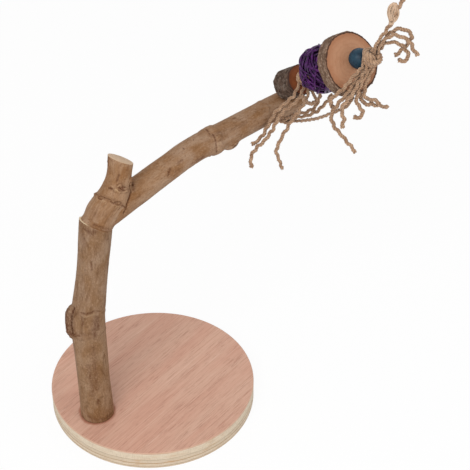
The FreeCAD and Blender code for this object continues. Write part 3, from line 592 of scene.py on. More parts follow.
def new_group(name, inputs, outputs):
    """An empty shader node group with its sockets."""
    group = bpy.data.node_groups.new(name, "ShaderNodeTree")
    for label, kind in inputs:
        group.interface.new_socket(label, in_out="INPUT", socket_type="NodeSocket" + kind)
    for label, kind in outputs:
        group.interface.new_socket(label, in_out="OUTPUT", socket_type="NodeSocket" + kind)
    return group, group.nodes.new("NodeGroupInput").outputs, group.nodes.new("NodeGroupOutput").inputs


def smooth_bark_group():
    """Thin smooth bark: streaks along the grain, cloudy patches, pores across it, dark scars, and painted
    highlights on ridges.
    """
    group, given, out = new_group(
        "smooth_bark",
        [("Grain", "Vector"), ("Scar And Highlight", "Float"), ("Base", "Color"), ("Pale", "Color"), ("Blotch", "Color")],
        [("Color", "Color"), ("Roughness", "Float"), ("Height", "Float")])
    grain = given["Grain"]
    patches = speckle(group, stretch(group, grain, (75, 75, 38)), 1, 3, 0.6, 0.4)
    blotches = speckle(group, stretch(group, grain, (150, 150, 55), 0, (0.3, 0.1, 0.2)), 1, 4, 0.65, 0.8)
    streaks = speckle(group, stretch(group, grain, (620, 620, 55)), 1, 4, 0.6)
    flecks = speckle(group, stretch(group, grain, (900, 900, 520)), 1, 3, 0.65, 0.4)
    pores = speckle(group, stretch(group, grain, (430, 430, 1300)), 1, 1)
    colour = tint(group, between(group, patches, 0.32, 0.68), given["Base"], given["Pale"])
    colour = tint(group, between(group, streaks, 0.47, 0.74, 0.0, 0.38), colour, given["Blotch"])
    colour = tint(group, between(group, blotches, 0.53, 0.70, 0.0, 0.7), colour, given["Blotch"])
    colour = tint(group, between(group, flecks, 0.50, 0.68, 0.0, 0.28), colour, rgb(0.50, 0.345, 0.225))
    colour = tint(group, between(group, flecks, 0.47, 0.32, 0.0, 0.34), colour, rgb(0.13, 0.062, 0.030))
    colour = tint(group, between(group, pores, 0.70, 0.78, 0.0, 0.6), colour, rgb(0.10, 0.05, 0.03))
    ragged = reckon(group, "MULTIPLY", given["Scar And Highlight"], between(group, flecks, 0.66, 0.42, 0.4, 1.0))
    colour = tint(group, ragged, colour, rgb(0.088, 0.025, 0.010))
    # A shade below 0 paints a pale highlight along a ridge.
    colour = tint(group, between(group, given["Scar And Highlight"], 0.0, -1.0), colour, rgb(0.52, 0.36, 0.22))
    group.links.new(colour, out["Color"])
    group.links.new(between(group, patches, 0.2, 0.8, 0.5, 0.68), out["Roughness"])
    relief = reckon(group, "MULTIPLY", streaks, 0.5)
    relief = reckon(group, "ADD", relief, reckon(group, "MULTIPLY", flecks, 0.6))
    relief = reckon(group, "SUBTRACT", relief, between(group, pores, 0.68, 0.78, 0.0, 0.4))
    group.links.new(relief, out["Height"])
    return group


def end_grain_group():
    """Sawn end grain: growth rings about the pith, fine pores, rays, and saw marks across."""
    group, given, out = new_group(
        "end_grain",
        [("Grain", "Vector"), ("Ring", "Float"), ("Contrast", "Float"), ("Pale", "Color"), ("Dark", "Color")],
        [("Color", "Color"), ("Height", "Float")])
    flat = add(group, "VectorMath", {0: given["Grain"], 1: (1, 1, 0)}, operation="MULTIPLY").outputs["Vector"]
    radius = add(group, "VectorMath", {0: flat}, operation="LENGTH").outputs["Value"]
    wander = speckle(group, flat, 90, 3)
    rings = reckon(group, "DIVIDE", radius, given["Ring"])
    rings = reckon(group, "ADD", rings, reckon(group, "MULTIPLY", wander, 2.4))
    saw_tooth = reckon(group, "FRACT", rings)
    late = between(group, saw_tooth, 0.35, 1.0)
    pores = speckle(group, flat, 1900, 3, 0.7)
    cloud = speckle(group, flat, 110, 3)
    marks = speckle(group, stretch(group, flat, (1400, 40, 1), 0.6), 1, 3)
    colour = tint(group, reckon(group, "MULTIPLY", late, given["Contrast"]), given["Pale"], given["Dark"])
    colour = tint(group, between(group, pores, 0.5, 0.75, 0.0, 0.35), colour, given["Dark"])
    colour = tint(group, between(group, cloud, 0.45, 0.75, 0.0, 0.45), colour, given["Dark"])
    group.links.new(colour, out["Color"])
    relief = reckon(group, "MULTIPLY", marks, 0.6)
    relief = reckon(group, "ADD", relief, reckon(group, "MULTIPLY", pores, 0.5))
    group.links.new(reckon(group, "SUBTRACT", relief, reckon(group, "MULTIPLY", late, 0.3)), out["Height"])
    return group


smooth_bark = smooth_bark_group()
end_grain = end_grain_group()


def grouped(tree, group, inputs):
    """A node group placed in a material with its values."""
    made = tree.nodes.new("ShaderNodeGroup")
    made.node_tree = group
    for name, value in inputs.items():
        feed(tree, made.inputs[name], value)
    return made.outputs


def read_kept(tree, name, output="Vector"):
    """What the piece keeps at each vertex under a name."""
    return add(tree, "Attribute", attribute_name=name).outputs[output]


def with_painted_hollow_shade(tree, colour, dark, distance, strength):
    """A colour darkened by painted shade in narrow gaps and hollows."""
    open_share = add(tree, "AmbientOcclusion", {"Distance": distance}, samples=6).outputs["AO"]
    return tint(tree, between(tree, open_share, 0.2, 0.85, strength, 0.0), colour, dark)


def bark_material(name, base, pale, blotch, warm_place, warm_reach):
    """Smooth bark whose colour is warmer about one place, where it was handled and rubbed."""
    made, tree, shader = new_material(name, 0.6, 0.07)
    bark = grouped(tree, smooth_bark, {
        "Grain": read_kept(tree, "grain"), "Scar And Highlight": read_kept(tree, "scar_and_highlight", "Fac"),
        "Base": base, "Pale": pale, "Blotch": blotch})
    away = distance_from(tree, on_piece(tree), warm_place)
    warm = between(tree, away, warm_reach, warm_reach * 0.4)
    colour = tint(tree, warm, bark["Color"], rgb(1.0, 0.95, 0.87), "MULTIPLY")
    # Painted shade: the bark darkens in its narrow gaps and hollows.
    colour = with_painted_hollow_shade(tree, colour, rgb(0.05, 0.020, 0.009), 0.004, 0.8)
    dress(tree, shader, colour, bark["Height"], 0.0008, 0.7, bark["Roughness"])
    return made


def end_grain_material(name, pale, dark, ring_width, clean_place=None, clean_reach=0.0):
    """Sawn end grain, which beyond the reach of one place may be stained."""
    made, tree, shader = new_material(name, 0.7, 0.2)
    sawn = grouped(tree, end_grain, {
        "Grain": read_kept(tree, "grain"), "Ring": ring_width, "Contrast": 0.45, "Pale": pale, "Dark": dark})
    colour = sawn["Color"]
    if clean_place:
        away = distance_from(tree, on_piece(tree), clean_place)
        stained = between(tree, away, clean_reach, clean_reach * 1.5)
        colour = tint(tree, stained, colour, rgb(0.33, 0.155, 0.065))
    dress(tree, shader, colour, sawn["Height"], 0.00025, 0.6)
    return made


post_line = eased([
    (post_foot.x + post_rise.x * lean, 0, post_foot.z + post_rise.z * height, post_radius * thick)
    for height, lean, thick in post_stations])
bm = bmesh.new()
grow_limb(bm, post_line)
grow_lump(bm, stump_middle + stump_out * stump_swell_out, Vector((0, 0, 1)), stump_half_high, stump_half_wide)
post = grown_together(bm, bark_voxel, post_smoothings)
refine(post, seen_at(post, stump_pixel), stump_marks_reach)
grain = grain_along(vertices_of(post), post_line)
lift = rough_up(grain, post_swell, post_flute)
# The stump: a small hollow that the healing bark has not closed, on the side away from the perch.
offsets = vertices_of(post) - np.array(stump_middle)
out_by = offsets @ np.array(stump_out)
beside = (offsets - out_by[:, None] * np.array(stump_out)) * (1, 1, stump_round_share)
aside = np.linalg.norm(beside, axis=1)
on_face = 1 / (1 + np.exp(-(out_by - stump_face) / stump_face_ease))
hollow = np.exp(-(aside / stump_hollow_radius) ** 4) * on_face
lip = np.exp(-((out_by - stump_face - stump_lip_out) / stump_lip_half) ** 2)
lip *= np.exp(-(aside / stump_lip_radius) ** 6)
furrows = noise_of(vertices_of(post), (900, 900, 260))
lift += stump_lip_height * lip * furrows - stump_hollow_depth * hollow
scar_and_highlight = np.maximum(0.9 * hollow, lip * np.clip(0.80 + 1.1 * furrows, 0.15, 1))
# Marks on the bark: a line of photo pixels, its half width and height in metres, and its shade, a dark scar
# above 0 and a painted highlight below.
post_marks = [
    ([(81, 313), (86, 314.5), (91, 313), (95, 311), (100, 311.5)], 0.0008, -0.0004, 0.70),
    ([(84, 317), (88, 316), (94, 314)], 0.0010, 0.0006, -0.40),
    ([(81, 317), (83, 322), (82, 326)], 0.0010, -0.0004, 0.45),
    ([(94, 322), (96, 326), (94, 331), (95, 336)], 0.0026, -0.0001, 0.62),
    ([(97, 318), (98.5, 323), (98, 329)], 0.0022, -0.0002, 0.80),
    ([(74, 337), (79, 340), (84, 340)], 0.0012, 0.0003, 0.30),
    ([(80, 334), (88, 335), (95, 333)], 0.0020, 0.0, 0.38),
    ([(83, 318), (85, 319.5)], 0.0008, -0.0002, 0.65),
    ([(85.5, 327), (87.5, 327.5)], 0.0006, -0.0002, 0.60),
    ([(69, 331), (72, 335), (79, 336)], 0.0012, 0.0004, 0.85),
    ([(91, 262), (92, 270)], 0.0007, -0.0003, 0.80),
    ([(95, 264), (95, 268)], 0.0006, -0.0002, 0.60),
    ([(84, 228), (88, 231), (92, 234), (95, 232)], 0.0019, -0.0001, 0.72),
    ([(82, 224), (83, 236), (84, 244)], 0.0024, 0.0, 0.36),
    ([(93, 348), (95, 372), (97, 390)], 0.0026, 0.0, 0.42),
    ([(88, 366), (93, 386), (92, 396)], 0.0022, 0.0, 0.46),
    ([(98, 400), (98, 404)], 0.0010, -0.0003, 0.75),
    ([(71, 306), (68.5, 311), (67.5, 320), (68, 329), (71, 337)], 0.0010, 0.0007, 0.60),
    ([(74, 308), (71.5, 315), (71, 326), (73, 334)], 0.0011, -0.0013, 1.0),
    ([(69.5, 331), (72, 334), (76, 334)], 0.0014, 0.0006, 0.9),
    ([(76, 308), (74, 318), (74, 328), (76, 337)], 0.0011, 0.0006, 0.30),
    ([(88, 416), (96, 420), (106, 418), (112, 412)], 0.0014, 0.0, 0.45),
]
mark_lift, mark_shade = scored(post, post_marks)
wave = noise_of(grain, (160, 160, 0), (0, 0, 0.4))
for where, width, height, shade in post_rings:
    ring = ridge(grain[:, 2] + post_ring_wander * wave, where, width)
    lift += height * ring
    scar_and_highlight = np.maximum(scar_and_highlight, shade * ring)
move_out(post, lift + mark_lift)
keep_scar(post, np.where(mark_shade < 0, mark_shade, np.maximum(scar_and_highlight, mark_shade)))
saw(post, mitre_middle - mitre_normal * mitre_clearance, mitre_normal)
saw(post, post_foot + Vector((0, 0, foot_clearance)), Vector((0, 0, -1)))
post_piece = finished("post_piece", post, [
    bark_material(
        "post_bark", rgb(0.230, 0.124, 0.060), rgb(0.315, 0.204, 0.132), rgb(0.138, 0.064, 0.029),
        post_foot, 0.15),
    end_grain_material(
        "post_sawn", rgb(0.86, 0.71, 0.50), rgb(0.62, 0.44, 0.27), 0.0016,
        mitre_middle - camera_right * post_radius, 0.0125)])
keep_grain(post_piece, post_line)
seat(post_piece, "stand", "post_bark", "post")


# Forked branch: one piece of wood, sawn to the same mitre and glued and dowelled to the post. Its long limb
# is the perch and its short limb a sawn stub; old bud scars and a bark seam show where the two part. The cord
# of the toy passes down a hole near the tip.
fork_reach = 0.215
fork_rise = 0.0279
stem_radius = 0.014
arm_radius = 0.011
stub_radius = 0.010
stub_run = 0.0279
stub_rise = 0.0496
# Reach and rise as shares of the limb's own, and thickness as a share of its radius.
trunk_stations = [
    (-0.60, -0.28, 1.26), (0.035, 0, 1.27), (0.27, 0.17, 1.33), (0.62, 0.34, 1.25), (0.84, 0.55, 1.10),
    (0.93, 0.76, 0.98), (1, 1, 1.02), (1.04, 1.18, 1.03)]
stem_stations = [(0.02, 0.10, 0.80), (0.045, 0.22, 0.90), (0.07, 0.315, 0.945), (0.10, 0.375, 0.94)]
arm_stations = [
    (0.145, 0.41, 1.12), (0.2, 0.455, 1.04), (0.299, 0.625, 1), (0.36, 0.74, 0.98), (0.418, 0.85, 0.98),
    (0.49, 0.915, 0.99), (0.53, 0.915, 1.02), (0.548, 0.91, 1.09), (0.562, 0.905, 1.12),
    (0.578, 0.905, 1.08), (0.6, 0.91, 1.01), (0.678, 0.935, 0.98), (0.761, 0.96, 0.99), (0.86, 0.99, 1),
    (0.944, 1, 1), (1.06, 0.98, 0.99)]
stub_top = mitre_middle + Vector((stub_run, 0, stub_rise))
stub_cut_tilt = math.radians(32)
stub_cut_bearing = math.radians(3)
stub_cut_lean = math.sin(stub_cut_tilt)
stub_cut_normal = Vector((
    stub_cut_lean * math.cos(stub_cut_bearing), stub_cut_lean * math.sin(stub_cut_bearing),
    math.cos(stub_cut_tilt)))
stub_cut_ease = 0.0005
stub_cut_reach = stub_radius * 2.2
bud_place = mitre_middle + Vector((fork_reach * 0.632, 0, fork_rise * 0.92))
bud_out = Vector((0, -0.643, -0.766))
bud_heading = Vector((1, 0, 0.1))
bud_swell_out = 0.0085
bud_half_long = 0.0085
bud_half_wide = 0.0055
crotch = mitre_middle + Vector((0.030, 0, 0.018))
crotch_reach = 0.022
crotch_smoothings = 8
fork_smoothings = 6
fork_swell = 0.0005
fork_flute = 0.0002
fork_eye_pixel = (115, 196)
fork_eye_reach = 0.027
arm_ring_pixel = (222, 139)
arm_ring_reach = 0.020
# Old bud rings: place along the perch, half width and height in metres, and shade.
arm_rings = [(0.1152, 0.0008, 0.0004, 0.15), (0.1207, 0.0008, 0.0004, 0.10), (0.1760, 0.0012, 0.0004, 0.12)]
arm_ring_wander = 0.003
arm_rings_start_share = 0.4
arm_end = mitre_middle + Vector((fork_reach, 0, fork_rise))
cord_hole_radius = 0.00235
cord_hole_x = 0.1544
cord_hole_sides = 32
cord_hole_low = 0.2
cord_hole_high = 0.29
fork_crease_angle = 45


def fork_stations(stations, reach, rise, radius):
    """Stations as points and radii, counted from the middle of the mitre."""
    return [
        (mitre_middle.x + reach * out, 0, mitre_middle.z + rise * up, radius * thick)
        for out, up, thick in stations]


def scar_ring(pixel, across, down, count=20):
    """A round scar's pixels: an uneven ring about a pixel."""
    ring = []
    for step in range(count + 1):
        turn = math.tau * step / count
        uneven = 1 + 0.13 * math.sin(3 * turn + 5 * across) + 0.08 * math.sin(5 * turn + down)
        ring.append((pixel[0] + across * uneven * math.cos(turn), pixel[1] + down * uneven * math.sin(turn)))
    return ring


stem_and_arm = fork_stations(stem_stations, fork_reach, fork_rise, stem_radius)
stem_and_arm += fork_stations(arm_stations, fork_reach, fork_rise, arm_radius)
arm_line = eased(stem_and_arm)
trunk_line = eased(fork_stations(trunk_stations, stub_run, stub_rise, stub_radius))
bm = bmesh.new()
grow_limb(bm, arm_line)
grow_limb(bm, trunk_line)
grow_lump(bm, bud_place + bud_out * bud_swell_out, bud_heading, bud_half_long, bud_half_wide)
fork = grown_together(bm, bark_voxel, fork_smoothings)
soften(fork, [vert for vert in fork.verts if (vert.co - crotch).length < crotch_reach], crotch_smoothings)
refine(fork, seen_at(fork, fork_eye_pixel), fork_eye_reach)
refine(fork, seen_at(fork, arm_ring_pixel), arm_ring_reach)
grain = grain_along(vertices_of(fork), trunk_line, arm_line)
lift = rough_up(grain, fork_swell, fork_flute)
# Marks as on the post: shades above 0 are dark scars, below 0 painted highlights along ridges.
fork_marks = [
    ([(130, 186), (131, 192), (129, 199), (126.5, 206), (124, 213)], 0.0008, -0.0009, 1.0),
    ([(131, 179.5), (132.5, 184), (132.5, 190)], 0.0017, 0.0013, 0.55),
    (scar_ring((131.3, 184), 1.3, 2.2), 0.0005, -0.0004, 1.0),
    ([(130, 178.5), (131, 176)], 0.0008, -0.0003, 0.8),
    ([(95.5, 194), (101, 197.5), (107, 199.5), (113, 201), (119, 204), (125, 208)], 0.0017, 0.0012, 0.22),
    (scar_ring((101, 198), 2.2, 1.6), 0.0005, -0.0004, 0.95),
    (scar_ring((117.6, 203), 3.0, 1.7), 0.0005, -0.0004, 0.90),
    ([(97, 198.5), (101, 200.5), (106, 201.5)], 0.0007, 0.0003, -0.45),
    ([(113, 203), (116, 205.5), (121, 207)], 0.0007, 0.0003, -0.55),
    ([(112, 186), (114, 190), (117, 193)], 0.0007, 0.0003, -0.45),
    ([(95.5, 193), (98, 195.5)], 0.0006, -0.0004, 0.95),
    ([(104, 197.5), (109, 199)], 0.0006, -0.0004, 0.95),
    ([(110.5, 201.5), (114, 204)], 0.0006, -0.0004, 1.0),
    ([(121.5, 205), (125.5, 208)], 0.0007, -0.0004, 0.95),
    (scar_ring((121.8, 188.6), 1.4, 0.9), 0.0006, -0.0003, 1.0),
    (scar_ring((121.8, 188.7), 2.9, 1.8), 0.0005, 0.0006, -0.35),
    (scar_ring((122.4, 188.6), 4.0, 2.6), 0.0006, -0.0004, 0.80),
    (scar_ring((121.7, 189), 5.8, 3.7), 0.0006, 0.0007, -0.75),
    (scar_ring((121.4, 189.2), 7.6, 4.6), 0.0007, -0.0003, 0.50),
    ([(119.2, 187.2), (120.4, 188.4)], 0.0007, -0.0003, 1.0),
    ([(122.6, 186.8), (124.4, 187.6)], 0.0007, -0.0003, 1.0),
    ([(122.8, 190), (124.8, 190.4)], 0.0007, -0.0003, 0.95),
    ([(109, 188), (112, 188.7)], 0.0010, -0.0003, 0.95),
    ([(117, 181), (117.5, 178), (119, 175)], 0.0009, -0.0002, 0.85),
    ([(110, 159), (112, 161)], 0.0007, -0.0002, 0.60),
    ([(110, 168), (111, 171)], 0.0008, -0.0001, 0.45),
    ([(109.2, 156), (108.8, 160), (108.6, 165)], 0.0012, 0.0010, 0.85),
    ([(168, 175), (169, 172), (170, 169)], 0.0010, -0.0001, 0.9),
    ([(178, 163), (182, 160)], 0.0011, 0.0, 0.7),
    ([(214, 135.5), (216, 141), (216.5, 148), (216.5, 153)], 0.0006, -0.0004, 0.80),
    ([(217.5, 137), (218.5, 144), (218.5, 151)], 0.0009, 0.0004, -0.30),
    ([(206, 129.5), (208, 131)], 0.0007, -0.0003, 0.95),
    ([(208.5, 133), (210, 134)], 0.0006, -0.0003, 0.85),
    ([(212.5, 134), (214, 135)], 0.0006, -0.0003, 0.90),
    ([(197, 160), (203, 157)], 0.0018, 0.0, 0.5),
    ([(234, 147), (237, 145), (239.5, 142.5)], 0.0008, -0.0007, 0.95),
    ([(88, 209), (96, 214), (104, 216)], 0.0030, 0.0, 0.20),
    ([(94, 224.5), (100, 227), (106, 229), (110, 229.5)], 0.0012, 0.0003, 0.58),
]
mark_lift, scar_and_highlight = scored(fork, fork_marks)
wave = noise_of(grain, (150, 150, 0), (0, 0, 2.7))
dots = noise_of(grain, (700, 700, 0), (0, 0, 5.1))
on_arm = vertices_of(fork)[:, 0] > mitre_middle.x + fork_reach * arm_rings_start_share
for where, width, height, shade in arm_rings:
    ring = ridge(grain[:, 2] + arm_ring_wander * wave, where, width) * on_arm
    lift += height * ring
    dotted = shade * ring * np.clip(0.7 + 1.2 * dots, 0.2, 1)
    scar_and_highlight = np.where(ring > 0.1, np.maximum(scar_and_highlight, dotted), scar_and_highlight)
move_out(fork, lift + mark_lift)
keep_scar(fork, scar_and_highlight)
saw(fork, mitre_middle + mitre_normal * mitre_clearance, -mitre_normal)
saw(fork, arm_end, Vector(arm_line[-1][:3] - arm_line[-8][:3]).normalized())
saw(fork, stub_top, stub_cut_normal, stub_cut_ease, stub_cut_reach)
fork_piece = finished("fork_arm_piece", fork, [
    bark_material(
        "fork_bark", rgb(0.265, 0.134, 0.060), rgb(0.368, 0.237, 0.154), rgb(0.166, 0.075, 0.033),
        stub_top, 0.062),
    end_grain_material("fork_sawn", rgb(0.68, 0.49, 0.335), rgb(0.52, 0.345, 0.215), 0.0014)])
cord_hole = [
    (0, cord_hole_low), (cord_hole_radius, cord_hole_low), (cord_hole_radius, cord_hole_high),
    (0, cord_hole_high)]
drill(fork_piece, cord_hole, cord_hole_x, cord_hole_sides, fork_crease_angle)
keep_grain(fork_piece, trunk_line, arm_line)
seat(fork_piece, "stand", "fork_bark", "fork_arm")


# Log: a short length of a thicker branch in its rough grey bark, sawn square at both ends and drilled along
# its pith for the cord. It leans on the perch and turns on the cord.
joint_places = {joint["name"]: Vector(joint["pos_m"]) for joint in frame["joints"]}
toy_axis = Vector(frame["joints"][0]["axis"]).normalized()
toy_up = toy_axis.cross(Vector((1, 0, 0)))
toy_turn = Matrix((Vector((1, 0, 0)), toy_up, toy_axis)).transposed().to_4x4()
bore_radius = 0.00235
log_radius = 0.01355
log_half = 0.011
log_sides = 150
log_front_share = 0.98
log_back_edge_in = 0.0008
log_front_edge_in = 0.0011
log_edge_down = 0.0007
log_bark_share = 0.90
log_ring_width = 0.0011
log_bark_start_share = 0.86
log_bark_full_over = 0.1
turning_pitch = 0.00075
bark_crease_angle = 70
sawn_upright = 0.75
bore_wall_share = 1.3


def threaded(joint):
    """Where a piece sits on the toy's cord, by the joint that it turns on."""
    return Matrix.Translation(joint_places[joint]) @ toy_turn


def rough_bark_group():
    """Thick grey bark: plates between dark cracks, with pale crusts of lichen."""
    group, given, out = new_group(
        "rough_bark",
        [("Grain", "Vector"), ("Plate", "Color"), ("Crust", "Color"), ("Crack", "Color")],
        [("Color", "Color"), ("Height", "Float")])
    grain = stretch(group, given["Grain"], (0.55, 0.55, 1.6))
    lumps = speckle(group, grain, 330, 5, 0.7, 0.6)
    cells = {"Vector": grain, "Scale": 380.0}
    cracks = add(group, "TexVoronoi", cells, feature="DISTANCE_TO_EDGE").outputs["Distance"]
    crust = speckle(group, given["Grain"], 210, 4, 0.65, 0.5)
    grit = speckle(group, given["Grain"], 1700, 3, 0.7)
    colour = tint(group, between(group, lumps, 0.3, 0.7), given["Crack"], given["Plate"])
    colour = tint(group, between(group, crust, 0.46, 0.74, 0.0, 0.7), colour, given["Crust"])
    colour = tint(group, between(group, cracks, 0.10, 0.0, 0.0, 0.75), colour, given["Crack"])
    colour = tint(group, between(group, grit, 0.5, 0.8, 0.0, 0.2), colour, given["Crust"])
    group.links.new(colour, out["Color"])
    relief = reckon(group, "ADD", lumps, between(group, cracks, 0.0, 0.15, 0.0, 0.5))
    group.links.new(reckon(group, "ADD", relief, reckon(group, "MULTIPLY", grit, 0.3)), out["Height"])
    return group


rough_bark = rough_bark_group()


def rough_bark_material(name, plate, crust, crack_and_hollow_shade):
    made, tree, shader = new_material(name, 0.85, 0.1)
    bark = grouped(tree, rough_bark, {
        "Grain": read_kept(tree, "grain"), "Plate": plate, "Crust": crust, "Crack": crack_and_hollow_shade})
    # Painted shade: the crack colour also darkens the bark's gaps and hollows.
    colour = with_painted_hollow_shade(tree, bark["Color"], crack_and_hollow_shade, 0.003, 0.7)
    dress(tree, shader, colour, bark["Height"], 0.0007, 0.8)
    return made


def heartwood_material(name, sapwood, heart, bark_line, edge_share, ring_width):
    """A sawn face that darkens towards a thin line of bark at its edge."""
    made, tree, shader = new_material(name, 0.62, 0.25)
    grain = read_kept(tree, "grain")
    sawn = grouped(tree, end_grain, {
        "Grain": grain, "Ring": ring_width, "Contrast": 0.2, "Pale": sapwood, "Dark": heart})
    wander = between(tree, speckle(tree, grain, 260, 3), 0.3, 0.7, -0.014, 0.014)
    ragged = reckon(tree, "ADD", read_kept(tree, "rim", "Fac"), wander)
    colour = tint(tree, between(tree, ragged, edge_share - 0.3, edge_share, 0.0, 0.8), sawn["Color"], heart)
    colour = tint(tree, between(tree, ragged, edge_share - 0.02, edge_share + 0.02), colour, bark_line)
    dress(tree, shader, colour, sawn["Height"], 0.00025, 0.6)
    return made


def mark_sawn(bm):
    """Give the flat faces and the bore the second material."""
    for face in bm.faces:
        flat = abs(face.normal.z) > sawn_upright
        in_bore = face.calc_center_median().xy.length < bore_radius * bore_wall_share
        face.material_index = 1 if flat or in_bore else 0


bm = turned([
    (bore_radius, -log_half), (log_radius - log_back_edge_in, -log_half),
    (log_radius, -log_half + log_edge_down), (log_radius * log_front_share, log_half - log_edge_down),
    (log_radius - log_front_edge_in, log_half), (bore_radius, log_half)], log_sides, turning_pitch)
log_grain = vertices_of(bm)
plates = noise_of(log_grain, (330, 330, 150))
crags = noise_of(log_grain, (900, 900, 520))
for vert, plate, crag in zip(bm.verts, plates, crags):
    outward = Vector((vert.co.x, vert.co.y, 0))
    share = outward.length / log_radius
    if share < log_bark_start_share:
        continue
    oval = 0.02 * math.cos(2 * math.atan2(vert.co.y, vert.co.x))
    weight = min(1.0, (share - log_bark_start_share) / log_bark_full_over)
    vert.co += outward * (weight * (oval + 0.035 * plate + 0.02 * crag - 0.012))
mark_sawn(bm)
bmesh.ops.transform(bm, matrix=threaded("log_spin"), verts=bm.verts)
log_piece = finished("log_spacer_piece", bm, [
    rough_bark_material(
        "log_bark", rgb(0.185, 0.120, 0.088), rgb(0.35, 0.285, 0.235), rgb(0.034, 0.019, 0.013)),
    heartwood_material(
        "log_sawn", rgb(0.26, 0.078, 0.026), rgb(0.15, 0.040, 0.013), rgb(0.05, 0.02, 0.012),
        log_bark_share, log_ring_width)], bark_crease_angle)
store(log_piece.data, "grain", "FLOAT_VECTOR", log_grain)
store(log_piece.data, "rim", "FLOAT", np.linalg.norm(log_grain[:, :2], axis=1) / log_radius)
seat(log_piece, "log_body", "log_bark", "log_spacer")


# Vine ball: a ball woven from one length of dyed vine, wound over itself in every direction and left hollow.
# The cord runs through its two open poles, and it turns on the cord.
ball_radius = 0.0198
ball_half = 0.0230
vine_radius = 0.00112
ball_loops = 27
loop_points = 44
loop_turn = 2.399
lean_degrees = 44
lean_swing_degrees = 27
lean_ripple_degrees = 4
pole_clear_degrees = 74
aside_most_degrees = 25.0
stray_arcs = 22
stray_points = 25
stray_spread = (0.55, 0.60)
stray_rise = 1.02
stray_dip = 0.16
stray_radius_share = 0.75
tube_bevel_steps = 2


def vine_material():
    made, tree, shader = new_material("dyed_vine", 0.42, 0.16)
    place = on_piece(tree)
    cloud = speckle(tree, place, 260, 3)
    streak_and_glint = speckle(tree, place, 1500, 3, 0.7)
    colour = tint(tree, between(tree, cloud, 0.35, 0.65), rgb(0.021, 0.004, 0.033), rgb(0.084, 0.013, 0.119))
    # Painted highlight: pale violet streaks stand in for glints on the vine.
    colour = tint(tree, between(tree, streak_and_glint, 0.55, 0.8, 0.0, 0.5), colour, rgb(0.18, 0.055, 0.205))
    # Painted shade: near black in the gaps between the loops of vine.
    colour = with_painted_hollow_shade(tree, colour, rgb(0.003, 0.001, 0.004), 0.006, 1.0)
    dress(tree, shader, colour, streak_and_glint, 0.00015, 0.5, between(tree, streak_and_glint, 0.3, 0.7, 0.20, 0.38))
    return made


def mesh_from_curve(curve):
    """The mesh that a curve makes. The curve itself isn't kept."""
    holder = bpy.data.objects.new(curve.name, curve)
    scene.collection.objects.link(holder)
    mesh = bpy.data.meshes.new_from_object(holder)
    bpy.data.objects.remove(holder)
    bpy.data.curves.remove(curve)
    return mesh


def tube_piece(name, runs, material):
    """A piece made of round tubes: each run is a list of (point, radius)."""
    curve = bpy.data.curves.new(name + "_runs", "CURVE")
    curve.dimensions = "3D"
    curve.bevel_depth = 1.0
    curve.bevel_resolution = tube_bevel_steps
    curve.use_fill_caps = True
    for run in runs:
        spline = curve.splines.new("POLY")
        spline.points.add(len(run) - 1)
        for knot, (point, radius) in zip(spline.points, run):
            knot.co = (*point, 1)
            knot.radius = radius
    mesh = mesh_from_curve(curve)
    mesh.name = name
    mesh.materials.clear()
    mesh.materials.append(material)
    mesh.shade_smooth()
    made = bpy.data.objects.new(name, mesh)
    scene.collection.objects.link(made)
    return made


def on_ball(point):
    """A point of the round ball, drawn out along the cord and put in its place on it."""
    return threaded("ball_spin") @ Vector((point.x, point.y, point.z * (ball_half / ball_radius)))


def vine_point(loop):
    """Where the vine is after so many loops: on a circle that leans, turns on and dips under the others."""
    swing = lean_swing_degrees * math.sin(loop * 0.83 + 0.6)
    lean = math.radians(lean_degrees + swing + lean_ripple_degrees * math.sin(loop * 2.1))
    round_by = loop * loop_turn
    axis = Vector((math.sin(lean) * math.cos(round_by), math.sin(lean) * math.sin(round_by), math.cos(lean)))
    first = Vector((0, 0, 1)).cross(axis).normalized()
    second = axis.cross(first)
    room = max(0.0, min(aside_most_degrees, pole_clear_degrees - math.degrees(lean)))
    aside = math.sin(math.radians(room)) * math.sin(loop * 1.31 + 0.4)
    turn = math.tau * loop
    depth = 1.0 - 0.10 * (1 + math.sin(loop * 1.7 + 3.1 * math.sin(turn * 0.5)))
    depth -= 0.012 * math.sin(turn * 3 + loop)
    circle = (first * math.cos(turn) + second * math.sin(turn)) * math.sqrt(1 - aside * aside)
    return on_ball((circle + axis * aside) * (ball_radius - vine_radius) * depth)


def stray_arc(rng):
    """A thinner arc of vine that stands a little off the ball at its middle."""
    height = rng.uniform(-0.5, 0.5)
    bearing = rng.uniform(0, math.tau)
    middle = Vector((math.cos(bearing), math.sin(bearing), height)).normalized()
    way = Matrix.Rotation(rng.uniform(0, math.tau), 3, middle) @ middle.orthogonal().normalized()
    run = []
    for step in range(stray_points):
        s = 2 * step / (stray_points - 1) - 1
        spread = rng.uniform(*stray_spread) * s
        circle = middle * math.cos(spread) + way * math.sin(spread)
        point = on_ball(circle * ball_radius * (stray_rise - stray_dip * s * s))
        run.append((point, vine_radius * stray_radius_share))
    return run


vine = []
for step in range(ball_loops * loop_points):
    loop = step / loop_points
    vine.append((vine_point(loop), vine_radius * (1 + 0.12 * math.sin(loop * 9.7))))
rng = random.Random(5)
strays = [stray_arc(rng) for _ in range(stray_arcs)]
ball_piece = tube_piece("vine_ball_piece", [vine] + strays, vine_material())
seat(ball_piece, "ball_body", "dyed_vine", "vine_ball")


